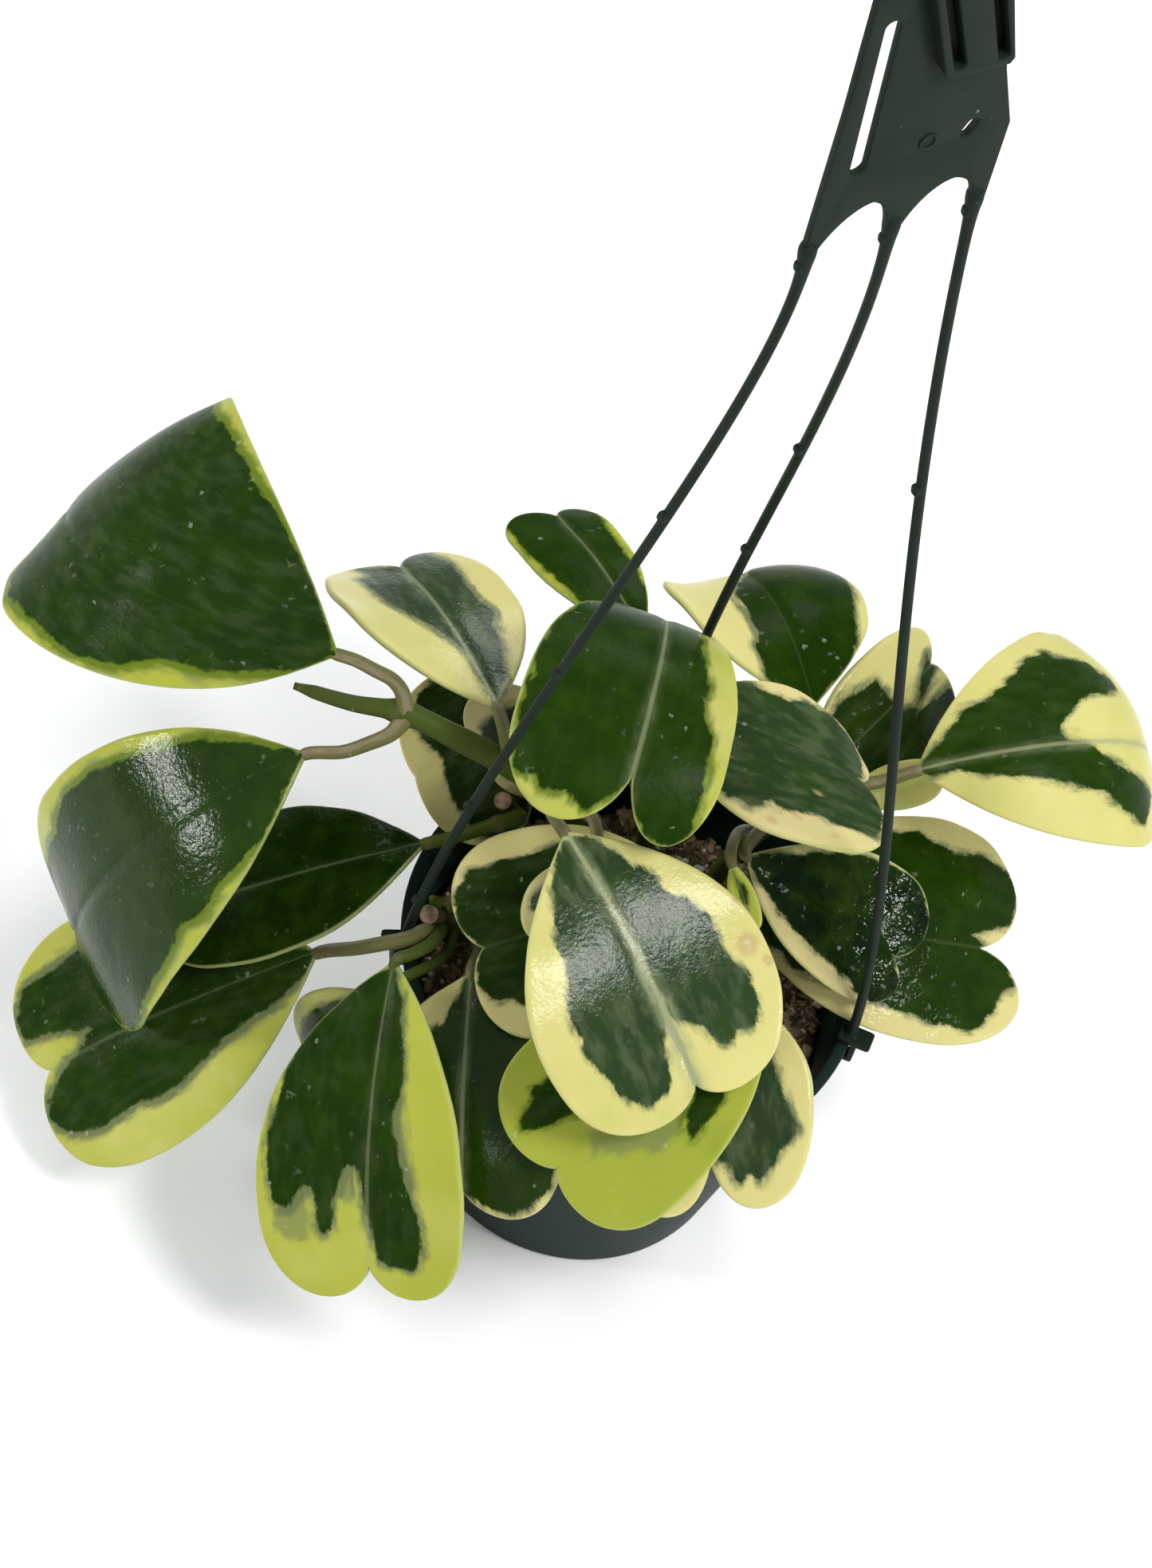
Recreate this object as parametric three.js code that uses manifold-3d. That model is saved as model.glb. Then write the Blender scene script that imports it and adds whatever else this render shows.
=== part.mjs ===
// Variegated sweetheart hoya in a plastic hanging pot, millimetres, +Z up.
// The origin is the centre of the pot's underside.

import * as THREE from 'three';
import { mergeVertices } from 'three/addons/utils/BufferGeometryUtils.js';
import Module from 'manifold-3d';

const wasm = await Module();
wasm.setup();

const DEGREE = Math.PI / 180;

// Clearance kept between pieces that touch.
const GAP = 0.3;

// Pot.
const POT_HEIGHT = 90;
const RIM_RADIUS = 57.5;
const RIM_WIDTH = 3;
const RIM_DEPTH = 6;
const BASE_RADIUS = 40;
const WALL = 1.6;
const WALL_TOP_RADIUS = RIM_RADIUS - 3.2;
const POT_SIDES = 32;
const DRAIN_COUNT = 6;
const DRAIN_RADIUS = 4;
const DRAIN_CIRCLE = 28;

// Soil, filled to 18 mm below the rim.
const SOIL_TOP = POT_HEIGHT - 18;
const SOIL_RELIEF = 1.2;
const SOIL_RINGS = [16, 32, 45];

// Stems swell where a pair of leaves grows.
const STEM_SIDES = 7;
const NODE_SWELL = 0.8;
const NODE_REACH = 0.035;

// Leaves. They face the light, which comes from the front and above.
const BLADE_THICKNESS = 1.6;
const BLADE_ROWS = 9;
const BLADE_COLUMNS = 3;
const SMALL_LEAF = 38;
const SMALL_ROWS = 6;
const PETIOLE_RADIUS = 1.6;
const PETIOLE_SIDES = 5;
const LIGHT = new THREE.Vector3(0, -Math.cos(57 * DEGREE), Math.sin(57 * DEGREE));

// Hanger: a flat plate on three strands that clip over the rim.
const STRAND_RADIUS = 1.25;
const STRAND_SIDES = 7;
const STRAND_STEPS = 16;
const NUB_RADIUS = 1.5;
const PLATE_BOTTOM = POT_HEIGHT + 298;
const PLATE_TURN = 43 * DEGREE;
const PLATE_LEAN = 7 * DEGREE;
const PLATE_THICKNESS = 2;
const STRAND_SPREAD = 20;
const PLATE_TOP = 92;
const SHANK_THICKNESS = 6;
const NECK_TOP = 104;
const HOOK_RADIUS = 15;
const HOOK_BAR = 5;
const HOOK_CENTRE = NECK_TOP + HOOK_RADIUS + HOOK_BAR - 2;
const CLIP_TOP = POT_HEIGHT + GAP + 2;
const CLIP_RADIUS = RIM_RADIUS - 0.5;
const CLIP_TAB = { width: 8.5, depth: 5, height: 2 };
const CLIP_LEG = { width: 1.6, depth: 4, height: 9.5 };
const CLIP_BARB = { width: 4.2, depth: 3.4, height: 1.8 };

const COLOURS = {
  plastic: { color: 0x2c3c34, roughness: 0.5, metalness: 0 },
  soil: { color: 0x3a2719, roughness: 0.95, metalness: 0 },
  leaf: { color: 0x2f4a22, roughness: 0.3, metalness: 0 },
  stem: { color: 0x5b6b34, roughness: 0.55, metalness: 0 },
};

// Stems: centre line points from below the soil to the tip, and the radius.
const STEMS = {
  vine_left: {
    radius: 2.5,
    tip: 1.3,
    node: 6,
    path: [[-10, 22, 60], [-13, 21, 80], [-18, 21, 103], [-29, 15, 121], [-43, 12, 133], [-57, 11, 139],
      [-70, 11, 142], [-83, 9, 142], [-97, 8, 143]],
  },
  vine_back: {
    radius: 2.3,
    tip: 2,
    path: [[-3, 28, 60], [-5, 33, 84], [-9, 43, 108], [-11, 47, 117]],
  },
  vine_right: {
    radius: 2.3,
    tip: 1.8,
    path: [[11, 27, 60], [13, 27, 84], [17, 28, 104], [22, 30, 118], [25, 38, 128], [25, 45, 133]],
  },
  stem_centre: {
    radius: 2.3,
    tip: 2,
    path: [[12, 2, 60], [13, 4, 82], [14, 7, 100], [13, 8, 110]],
  },
  stem_cut: {
    radius: 2.2,
    tip: 2.2,
    path: [[-25, 16, 60], [-28, 15, 80], [-32, 14, 95], [-36, 13, 109], [-40, 12, 117]],
  },
  stem_left: {
    radius: 2.4,
    tip: 2.5,
    path: [[-42, -2, 60], [-44, -4, 78], [-47, -9, 88], [-49, -13, 93]],
  },
};

// Leaves: at is where the blade starts, notch is the cleft between its lobes. Width and lobe depth
// are in millimetres, belly is where along the blade it is widest. Droop bends the blade along its
// rib, roll and twist turn it about its rib, cup curls the left and right halves, all in degrees,
// and skew makes the right half wider than the left. The petiole runs from the stem to the blade.
const LEAVES = {
  leaf_upper_left: {
    at: [-89, 13, 154], notch: [-164, 48, 124], width: 77, lobe: 8, belly: 0.74,
    droop: 116, roll: -18, twist: -22, cup: [6, -25], skew: 0.34,
    stem: 'vine_left', petiole: [[-70, 11, 142], [-72, 14, 148], [-76, 15, 152], [-83, 14, 154]],
  },
  leaf_middle_left: {
    at: [-89, -4, 135], notch: [-131, -27, 62], width: 63, lobe: 8, belly: 0.79,
    droop: 76, roll: 26, twist: 0, cup: [-14, 8], skew: -0.05,
    stem: 'vine_left', petiole: [[-70, 11, 142], [-73, 5, 138], [-80, 0, 136]],
  },
  leaf_dark_left: {
    at: [-56, 3, 102], notch: [-109, -19, 72], width: 42, lobe: 5, belly: 0.62,
    droop: 13, roll: 32, twist: 0, cup: [1, -11], skew: 0.01,
    stem: 'stem_cut', petiole: [[-37, 14, 109], [-43, 10, 107], [-50, 6, 104]],
  },
  leaf_lower_left: {
    at: [-73, -22, 79], notch: [-128, -48, 28], width: 64, lobe: 8, belly: 0.66,
    droop: 33, roll: 20, twist: 5, cup: [-14, -1], skew: 0.01,
    stem: 'stem_left',
    petiole: [[-49, -12, 92], [-49, -20, 97], [-53, -25, 101], [-58, -28, 102], [-65, -26, 93]],
  },
  leaf_lower_front: {
    at: [-54, -33, 105], notch: [-37, -88, 55], width: 55, lobe: 9, belly: 0.64,
    droop: 35, roll: 26, twist: 16, cup: [24, -8], skew: 0.05,
    stem: 'stem_left', petiole: [[-47, -9, 89], [-44, -16, 97], [-47, -27, 104]],
  },
  leaf_under_front: {
    at: [-36, -24, 96], notch: [-22, -70, 75], width: 52, lobe: 7, belly: 0.65,
    droop: 52, roll: 4, twist: -8, cup: [19, -1], skew: -0.02,
    stem: 'stem_left', petiole: [[-43, -2, 73], [-36, -8, 86]],
  },
  leaf_centre: {
    at: [-25, -11, 148], notch: [23, -48, 118], width: 62, lobe: 7, belly: 0.6,
    droop: 45, roll: -17, twist: -3, cup: [0, -1], skew: 0.04,
    stem: 'vine_left', petiole: [[-30, 15, 122], [-31, 4, 136], [-29, -4, 143]],
  },
  leaf_lime_front: {
    at: [31, -13, 122], notch: [-2, -67, 93], width: 53, lobe: 4, belly: 0.74,
    droop: 20, roll: 5, twist: -3, cup: [8, -2], skew: 0.01,
    stem: 'stem_centre', petiole: [[14, 6, 97], [21, 1, 110]],
  },
  leaf_right_front: {
    at: [15, -9, 108], notch: [33, -53, 93], width: 51, lobe: 13, belly: 0.53,
    droop: 38, roll: 0, twist: 4, cup: [3, 2], skew: -0.01,
    stem: 'stem_centre', petiole: [[12, 3, 84], [13, -4, 97]],
  },
  leaf_inner_left: {
    at: [10, 3, 121], notch: [-35, -24, 108], width: 51, lobe: 5, belly: 0.7,
    droop: 21, roll: 9, twist: 1, cup: [-1, 7], skew: -0.01,
    stem: 'stem_centre', petiole: [[13, 8, 109], [11, 6, 116]],
  },
  leaf_inner_small: {
    at: [-16, -4, 133], notch: [-17, -19, 118], width: 28, lobe: 5, belly: 0.61,
    droop: 17, roll: 3, twist: 2, cup: [0, -1], skew: -0.09,
    stem: 'vine_left', petiole: [[-24, 18, 114], [-19, 8, 127]],
  },
  leaf_top_centre: {
    at: [-18, 56, 144], notch: [-14, -4, 168], width: 52, lobe: 14, belly: 0.76,
    droop: 98, roll: -5, twist: 0, cup: [-14, 2], skew: 0.18,
    stem: 'vine_back', petiole: [[-11, 46, 115], [-12, 51, 127], [-15, 54, 136]],
  },
  leaf_back_left: {
    at: [-49, 18, 145], notch: [-83, 60, 127], width: 46, lobe: 6, belly: 0.61,
    droop: 34, roll: 33, twist: 6, cup: [26, -10], skew: -0.1,
    stem: 'vine_left', petiole: [[-43, 12, 133], [-45, 14, 140]],
  },
  leaf_behind_stem: {
    at: [-41, 40, 115], notch: [-64, 24, 96], width: 45, lobe: 1, belly: 0.53,
    droop: 23, roll: 3, twist: -9, cup: [-11, -4], skew: -0.09,
    stem: 'vine_left', petiole: [[-17, 21, 98], [-27, 32, 113]],
  },
  leaf_back_dark: {
    at: [-21, 57, 136], notch: [-51, 93, 122], width: 27, lobe: 4, belly: 0.8,
    droop: 27, roll: 27, twist: -9, cup: [-10, 1], skew: -0.17,
    stem: 'vine_back', petiole: [[-9, 42, 108], [-15, 45, 120], [-20, 50, 129], [-22, 55, 134]],
  },
  leaf_back_right: {
    at: [23, 50, 140], notch: [-2, 90, 127], width: 51, lobe: 6, belly: 0.6,
    droop: 75, roll: 22, twist: 11, cup: [36, -39], skew: -0.01,
    stem: 'vine_right', petiole: [[25, 42, 131], [24, 46, 137]],
  },
  leaf_right_centre: {
    at: [-10, 29, 155], notch: [38, 30, 146], width: 48, lobe: 6, belly: 0.68,
    droop: 40, roll: -24, twist: 35, cup: [3, -3], skew: 0.27,
    stem: 'vine_back', petiole: [[-7, 38, 97], [-13, 33, 113], [-14, 33, 134], [-13, 31, 149]],
  },
  leaf_right_back: {
    at: [28, 42, 118], notch: [48, 84, 125], width: 36, lobe: 4, belly: 0.6,
    droop: 27, roll: 10, twist: -21, cup: [4, 3], skew: 0.16,
    stem: 'vine_right', petiole: [[20, 29, 113], [24, 37, 115]],
  },
  leaf_far_right: {
    at: [51, 38, 146], notch: [104, 72, 135], width: 61, lobe: 8, belly: 0.69,
    droop: 116, roll: -11, twist: 3, cup: [-41, -27], skew: -0.16,
    stem: 'vine_right', petiole: [[25, 38, 128], [33, 36, 133], [42, 36, 138]],
  },
  leaf_dark_right: {
    at: [18, 11, 129], notch: [60, 9, 109], width: 34, lobe: 7, belly: 0.68,
    droop: 35, roll: 3, twist: 12, cup: [0, -15], skew: -0.13,
    stem: 'vine_right', petiole: [[22, 30, 118], [20, 22, 125]],
  },
  leaf_right_under: {
    at: [20, 12, 102], notch: [81, 25, 100], width: 57, lobe: 13, belly: 0.68,
    droop: 44, roll: -1, twist: 10, cup: [-20, -9], skew: -0.12,
    stem: 'stem_centre', petiole: [[14, 6, 96], [17, 12, 104]],
  },
  leaf_right_small: {
    at: [37, 41, 121], notch: [58, 53, 124], width: 12, lobe: 1, belly: 0.61,
    droop: 17, roll: 8, twist: 0, cup: [0, 2], skew: 0,
    stem: 'vine_right', petiole: [[24, 36, 126], [30, 39, 123]],
  },
  leaf_young: {
    at: [15, 5, 134], notch: [25, -4, 123], width: 7, lobe: 1, belly: 0.62,
    droop: 10, roll: 3, twist: 3, cup: [-4, 0], skew: 0.06,
    stem: 'vine_right', petiole: [[20, 29, 113], [15, 18, 126]],
  },
  leaf_behind_top: {
    at: [-30, 33, 128], notch: [-48, 26, 113], width: 32, lobe: 3, belly: 0.6,
    droop: 22, roll: -13, twist: 9, cup: [-7, -4], skew: 0.05,
    stem: 'vine_left', petiole: [[-20, 20, 107], [-25, 28, 121]],
  },
  leaf_low_left: {
    at: [-54, -34, 90], notch: [-69, -35, 55], width: 25, lobe: 0, belly: 0.62,
    droop: 54, roll: 2, twist: -10, cup: [0, -5], skew: -0.11,
    stem: 'stem_left', petiole: [[-44, -4, 81], [-43, -14, 87], [-45, -23, 93], [-51, -31, 95]],
  },
};

// Strands: the rim angle of the clip, which root on the plate they hang from, how far they run
// straight at the head and at the foot, their lean inward at the foot in degrees, and the places
// of their small round nubs.
const STRANDS = {
  strand_left: { angle: 199, side: -1, head: 50, foot: 80, lean: 1.5,
    nubs: [0.01, 0.32, 0.56, 0.77, 0.93] },
  strand_back: { angle: 98, side: 0, head: 58, foot: 70, lean: -10, nubs: [0.01, 0.37, 0.6] },
  strand_right: { angle: -5, side: 1, head: 130, foot: 70, lean: 1.5, nubs: [0.01, 0.3] },
};

function solid(geometry) {
  const bare = geometry.index ? geometry.clone() : geometry;
  bare.deleteAttribute('normal');
  bare.deleteAttribute('uv');
  const merged = mergeVertices(bare, 1e-4);
  const vertProperties = new Float32Array(merged.attributes.position.array);
  const triVerts = new Uint32Array(merged.index.array);
  return new wasm.Manifold(new wasm.Mesh({ numProp: 3, vertProperties, triVerts }));
}

// Keeps the largest body of a cut solid and drops the scraps.
function largest(body) {
  const bodies = body.decompose();
  return bodies.reduce((best, next) => (next.volume() > best.volume() ? next : best));
}

function geometryOf(body) {
  const mesh = body.getMesh();
  const geometry = new THREE.BufferGeometry();
  geometry.setAttribute('position', new THREE.BufferAttribute(mesh.vertProperties, 3));
  geometry.setIndex(new THREE.BufferAttribute(mesh.triVerts, 1));
  geometry.computeVertexNormals();
  return geometry;
}

function vector(point) {
  return new THREE.Vector3(point[0], point[1], point[2]);
}

function indexed(points, triangles) {
  const geometry = new THREE.BufferGeometry();
  geometry.setAttribute('position', new THREE.Float32BufferAttribute(points.flat(), 3));
  geometry.setIndex(triangles.flat());
  return geometry;
}

// A closed round tube along a curve, whose radius is a function of the place along it.
function tube(curve, radiusAt, steps, sides) {
  const frames = curve.computeFrenetFrames(steps, false);
  const points = [];
  const triangles = [];
  for (let i = 0; i <= steps; i += 1) {
    const centre = curve.getPointAt(i / steps);
    const radius = radiusAt(i / steps);
    for (let j = 0; j < sides; j += 1) {
      const angle = (j / sides) * 2 * Math.PI;
      const place = centre.clone();
      place.addScaledVector(frames.normals[i], radius * Math.cos(angle));
      place.addScaledVector(frames.binormals[i], radius * Math.sin(angle));
      points.push(place.toArray());
    }
  }
  for (let i = 0; i < steps; i += 1) {
    for (let j = 0; j < sides; j += 1) {
      const a = i * sides + j;
      const b = i * sides + ((j + 1) % sides);
      triangles.push([a, b, b + sides], [a, b + sides, a + sides]);
    }
  }
  const last = steps * sides;
  for (let j = 1; j < sides - 1; j += 1) {
    triangles.push([0, j + 1, j], [last, last + j, last + j + 1]);
  }
  return indexed(points, triangles);
}

// Stem radius: it tapers to the tip, and swells where a pair of leaves grows.
function stemTube(stem, extra) {
  const curve = new THREE.CatmullRomCurve3(stem.path.map(vector));
  const steps = Math.max(4, Math.round(curve.getLength() / 6));
  const swell = stem.node === undefined ? -1 : stem.node / (stem.path.length - 1);
  const radiusAt = (u) => {
    const t = curve.getUtoTmapping(u);
    const taper = THREE.MathUtils.lerp(stem.radius, stem.tip, Math.max(0, t - 0.6) / 0.4);
    return taper + NODE_SWELL * Math.exp(-(((t - swell) / NODE_REACH) ** 2)) + extra;
  };
  return tube(curve, radiusAt, steps, STEM_SIDES);
}

// Half of the flat heart outline from the stalk to the cleft, as the distance from the rib and the
// height along it: two cubic curves that meet at the widest point.
function heartEdge(leaf, length, s) {
  const half = leaf.width / 2;
  const top = length + leaf.lobe;
  const lower = [[0, 0], [0.55 * half, 0.165 * top], [half, 0.34 * top], [half, leaf.belly * top]];
  const upper = [[half, leaf.belly * top], [half, 1.02 * top], [0.22 * half, top + 0.55 * leaf.lobe],
    [0, length]];
  const points = s <= 0.5 ? lower : upper;
  const t = s <= 0.5 ? 2 * s : 2 * s - 1;
  const weights = [(1 - t) ** 3, 3 * (1 - t) ** 2 * t, 3 * (1 - t) * t * t, t ** 3];
  const blend = (axis) => points.reduce((sum, point, i) => sum + weights[i] * point[axis], 0);
  return [blend(0), blend(1)];
}

// Distance forward and drop after an arc of the given length that starts at an angle.
function arc(start, bend, length) {
  const k = Math.abs(bend) < 1e-6 ? 1e-6 : bend;
  const end = start + k * length;
  return [(Math.sin(end) - Math.sin(start)) / k, (Math.cos(start) - Math.cos(end)) / k];
}

// The blade's own axes: along its rib, out of its face and to its right, and the rib's length.
function bladeFrame(leaf) {
  const start = vector(leaf.at);
  const chord = vector(leaf.notch).sub(start);
  const along = chord.clone().normalize();
  const face = LIGHT.clone().addScaledVector(along, -LIGHT.dot(along)).normalize();
  face.applyAxisAngle(along, leaf.roll * DEGREE);
  const half = (leaf.droop / 2) * DEGREE;
  const rib = along.clone().multiplyScalar(Math.cos(half)).addScaledVector(face, Math.sin(half));
  const out = along.clone().multiplyScalar(-Math.sin(half)).addScaledVector(face, Math.cos(half));
  const right = rib.clone().cross(out);
  const length = (chord.length() * half) / Math.sin(half);
  return { start, rib, out, right, length };
}

// A point of the bent blade: x to the right of the rib, y along it. The rib bends down along an
// arc, the halves turn about it by the twist and curl up by their cup.
function bladePoint(leaf, frame, x, y) {
  const bend = (leaf.droop * DEGREE) / frame.length;
  const [forward, drop] = arc(0, bend, y);
  const centre = frame.start.clone().addScaledVector(frame.rib, forward);
  centre.addScaledVector(frame.out, -drop);
  const out = frame.rib.clone().multiplyScalar(Math.sin(bend * y));
  out.addScaledVector(frame.out, Math.cos(bend * y));
  const twist = (leaf.twist * DEGREE * y) / frame.length;
  const side = frame.right.clone().multiplyScalar(Math.cos(twist)).addScaledVector(out, Math.sin(twist));
  const up = out.clone().multiplyScalar(Math.cos(twist)).addScaledVector(frame.right, -Math.sin(twist));
  const cup = leaf.cup[x < 0 ? 0 : 1] * DEGREE;
  const [across, rise] = arc(0, (2 * cup) / leaf.width, Math.abs(x));
  return centre.addScaledVector(side, Math.sign(x) * across).addScaledVector(up, rise);
}

function bladeNormal(leaf, frame, x, y) {
  const step = 0.5;
  const across = bladePoint(leaf, frame, x + step, y).sub(bladePoint(leaf, frame, x - step, y));
  const along = bladePoint(leaf, frame, x, y + step).sub(bladePoint(leaf, frame, x, y - step));
  return across.cross(along).normalize();
}

// The blade is two like faces, half a thickness each side of its middle surface, and an edge band.
function bladeGeometry(leaf) {
  const frame = bladeFrame(leaf);
  const rows = leaf.width < SMALL_LEAF ? SMALL_ROWS : BLADE_ROWS;
  const wide = 2 * BLADE_COLUMNS + 1;
  const flat = [];
  for (let i = 0; i <= rows; i += 1) {
    const s = i / rows;
    const [edgeX, edgeY] = heartEdge(leaf, frame.length, s);
    const ribY = frame.length * s ** 1.15;
    for (let j = 0; j < wide; j += 1) {
      const t = Math.abs(j - BLADE_COLUMNS) / BLADE_COLUMNS;
      const side = Math.sign(j - BLADE_COLUMNS);
      const x = side * edgeX * t * (1 + side * leaf.skew);
      flat.push([x, THREE.MathUtils.lerp(ribY, edgeY, t)]);
    }
  }
  const points = [];
  [0.5, -0.5].forEach((half) => {
    flat.forEach(([x, y]) => {
      const place = bladePoint(leaf, frame, x, y);
      place.addScaledVector(bladeNormal(leaf, frame, x, y), half * BLADE_THICKNESS);
      points.push(place.toArray());
    });
  });
  return indexed(points, bladeTriangles(rows, wide, flat.length));
}

// Triangles of the two faces and the band. The first and last rows are each a single point.
function bladeTriangles(rows, wide, count) {
  const triangles = [];
  const lastColumn = wide - 1;
  for (let i = 0; i < rows; i += 1) {
    for (let j = 0; j < lastColumn; j += 1) {
      const a = i * wide + j;
      const corners = [[a, a + 1, a + 1 + wide], [a, a + 1 + wide, a + wide]];
      corners.filter((_, k) => (k === 0 ? i > 0 : i < rows - 1)).forEach(([p, q, r]) => {
        triangles.push([p, q, r], [p + count, r + count, q + count]);
      });
    }
    const left = i * wide;
    const right = left + lastColumn;
    triangles.push([left, left + wide, left + wide + count], [left, left + wide + count, left + count]);
    triangles.push([right, right + count, right + wide + count]);
    triangles.push([right, right + wide + count, right + wide]);
  }
  return triangles;
}

// The petiole starts on the stem's centre line and ends in the blade, close under its rib.
function petioleGeometry(leaf) {
  const frame = bladeFrame(leaf);
  const inner = bladePoint(leaf, frame, 0, 4).addScaledVector(bladeNormal(leaf, frame, 0, 4), -0.5);
  const points = [...leaf.petiole.map(vector), vector(leaf.at), inner];
  const curve = new THREE.CatmullRomCurve3(points);
  const radius = Math.min(PETIOLE_RADIUS, 0.9 + leaf.width / 50);
  const steps = Math.max(3, Math.round(curve.getLength() / 5));
  return tube(curve, (u) => radius * (1.15 - 0.25 * u), steps, PETIOLE_SIDES);
}

function leafSolid(leaf) {
  const whole = solid(bladeGeometry(leaf)).add(solid(petioleGeometry(leaf)));
  const stem = solid(stemTube(STEMS[leaf.stem], GAP));
  return largest(whole.subtract(stem));
}

// The pot's wall from the axis out along its underside, up to the lip and back down inside.
function potSolid() {
  const lipOuter = RIM_RADIUS - 1.2;
  const profile = [[0, 0], [BASE_RADIUS - 2, 0], [BASE_RADIUS, 2], [WALL_TOP_RADIUS, POT_HEIGHT - RIM_DEPTH],
    [lipOuter, POT_HEIGHT - RIM_DEPTH], [RIM_RADIUS, POT_HEIGHT - 0.8], [RIM_RADIUS - 0.6, POT_HEIGHT],
    [RIM_RADIUS - RIM_WIDTH + 0.5, POT_HEIGHT], [RIM_RADIUS - RIM_WIDTH, POT_HEIGHT - 0.6],
    [WALL_TOP_RADIUS - WALL, POT_HEIGHT - RIM_DEPTH], [BASE_RADIUS - WALL, 2 * WALL],
    [BASE_RADIUS - WALL - 2, WALL], [0, WALL]];
  const shell = new THREE.LatheGeometry(profile.map(([r, z]) => new THREE.Vector2(r, z)), POT_SIDES);
  shell.rotateX(Math.PI / 2);
  let body = solid(shell);
  for (let i = 0; i < DRAIN_COUNT; i += 1) {
    const angle = (i / DRAIN_COUNT) * 2 * Math.PI;
    const drain = new THREE.CylinderGeometry(DRAIN_RADIUS, DRAIN_RADIUS, 10, 8);
    drain.rotateX(Math.PI / 2);
    drain.translate(DRAIN_CIRCLE * Math.cos(angle), DRAIN_CIRCLE * Math.sin(angle), 0);
    body = body.subtract(solid(drain));
  }
  return body;
}

function potInnerRadius(z) {
  const wallTop = POT_HEIGHT - RIM_DEPTH;
  const rise = (z - 2 * WALL) / (wallTop - 2 * WALL);
  return THREE.MathUtils.lerp(BASE_RADIUS - WALL, WALL_TOP_RADIUS - WALL, rise);
}

// Soil fills the pot. Its top is raised in low chips by a sum of sines, with holes for the stems.
function soilSolid() {
  const bottom = 2 * WALL + GAP;
  const edge = (z) => potInnerRadius(z) - GAP - 0.2;
  const rings = [0, ...SOIL_RINGS].map((r) => new THREE.Vector2(r, SOIL_TOP)).reverse();
  const profile = [new THREE.Vector2(0, bottom), new THREE.Vector2(edge(bottom), bottom),
    new THREE.Vector2(edge(SOIL_TOP), SOIL_TOP - 1), ...rings];
  const lathe = new THREE.LatheGeometry(profile, POT_SIDES);
  lathe.rotateX(Math.PI / 2);
  const place = lathe.attributes.position;
  for (let i = 0; i < place.count; i += 1) {
    if (place.getZ(i) > SOIL_TOP - 0.5) {
      const x = place.getX(i);
      const y = place.getY(i);
      const relief = Math.sin(0.47 * x + 1.3) * Math.cos(0.39 * y) + 0.6 * Math.sin(0.9 * x - 0.7 * y);
      place.setZ(i, SOIL_TOP + SOIL_RELIEF * relief);
    }
  }
  let body = solid(lathe);
  Object.values(STEMS).forEach((stem) => {
    body = body.subtract(solid(stemTube(stem, GAP)));
  });
  return largest(body);
}

// Places a point of the leaning plate: across its width, up from its lower edge and out of its face.
function platePlace(across, up, out) {
  const point = new THREE.Vector3(across, -out, up);
  point.applyAxisAngle(new THREE.Vector3(1, 0, 0), -PLATE_LEAN);
  point.applyAxisAngle(new THREE.Vector3(0, 0, 1), PLATE_TURN);
  point.z += PLATE_BOTTOM;
  return point;
}

// Extrudes an outline drawn on the plate's face to a thickness centred on the plate.
function onPlate(shape, thickness, offset) {
  const options = { depth: thickness, bevelEnabled: false, curveSegments: 6 };
  const geometry = new THREE.ExtrudeGeometry(shape, options);
  geometry.translate(0, 0, offset - thickness / 2);
  const place = geometry.attributes.position;
  for (let i = 0; i < place.count; i += 1) {
    const point = platePlace(place.getX(i), place.getY(i), place.getZ(i));
    place.setXYZ(i, point.x, point.y, point.z);
  }
  return solid(geometry);
}

// The plate's outline: its sides draw in upwards, and two arches part the roots of the strands.
function plateOutline() {
  const shape = new THREE.Shape();
  shape.moveTo(-21.5, 0);
  shape.lineTo(-18.5, 0);
  shape.bezierCurveTo(-16, 5, -11, 10, -6.5, 10);
  shape.quadraticCurveTo(-2.2, 8, -2, 0);
  shape.lineTo(2, 0);
  shape.bezierCurveTo(4.5, 5.5, 9, 9.5, 13, 9.3);
  shape.quadraticCurveTo(18.6, 7.5, 18.5, 0);
  shape.lineTo(22, 0);
  shape.lineTo(24, 21.5);
  shape.lineTo(20, 38);
  shape.lineTo(16, 62);
  shape.lineTo(7, 86);
  shape.lineTo(7, PLATE_TOP);
  shape.lineTo(-7, PLATE_TOP);
  shape.lineTo(-16, 72);
  shape.lineTo(-18, 40);
  shape.closePath();
  return shape;
}

function slot(x0, y0, x1, y1, radius) {
  const angle = Math.atan2(y1 - y0, x1 - x0);
  const path = new THREE.Path();
  path.absarc(x0, y0, radius, angle + Math.PI / 2, angle + 1.5 * Math.PI, false);
  path.absarc(x1, y1, radius, angle - Math.PI / 2, angle + Math.PI / 2, false);
  path.closePath();
  return path;
}

// The raised shank of the hook. Its foot starts right of the middle and it narrows to the neck.
function shankOutline() {
  const shape = new THREE.Shape();
  shape.moveTo(3, 45.5);
  shape.lineTo(17, 44.5);
  shape.lineTo(18, 46);
  shape.lineTo(14.5, 63);
  shape.lineTo(7, 86);
  shape.lineTo(7, PLATE_TOP);
  shape.lineTo(HOOK_BAR / 2, NECK_TOP);
  shape.lineTo(-HOOK_BAR / 2, NECK_TOP);
  shape.lineTo(-7, PLATE_TOP);
  shape.lineTo(-7, 78);
  shape.lineTo(1.5, 47);
  shape.closePath();
  return shape;
}

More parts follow.
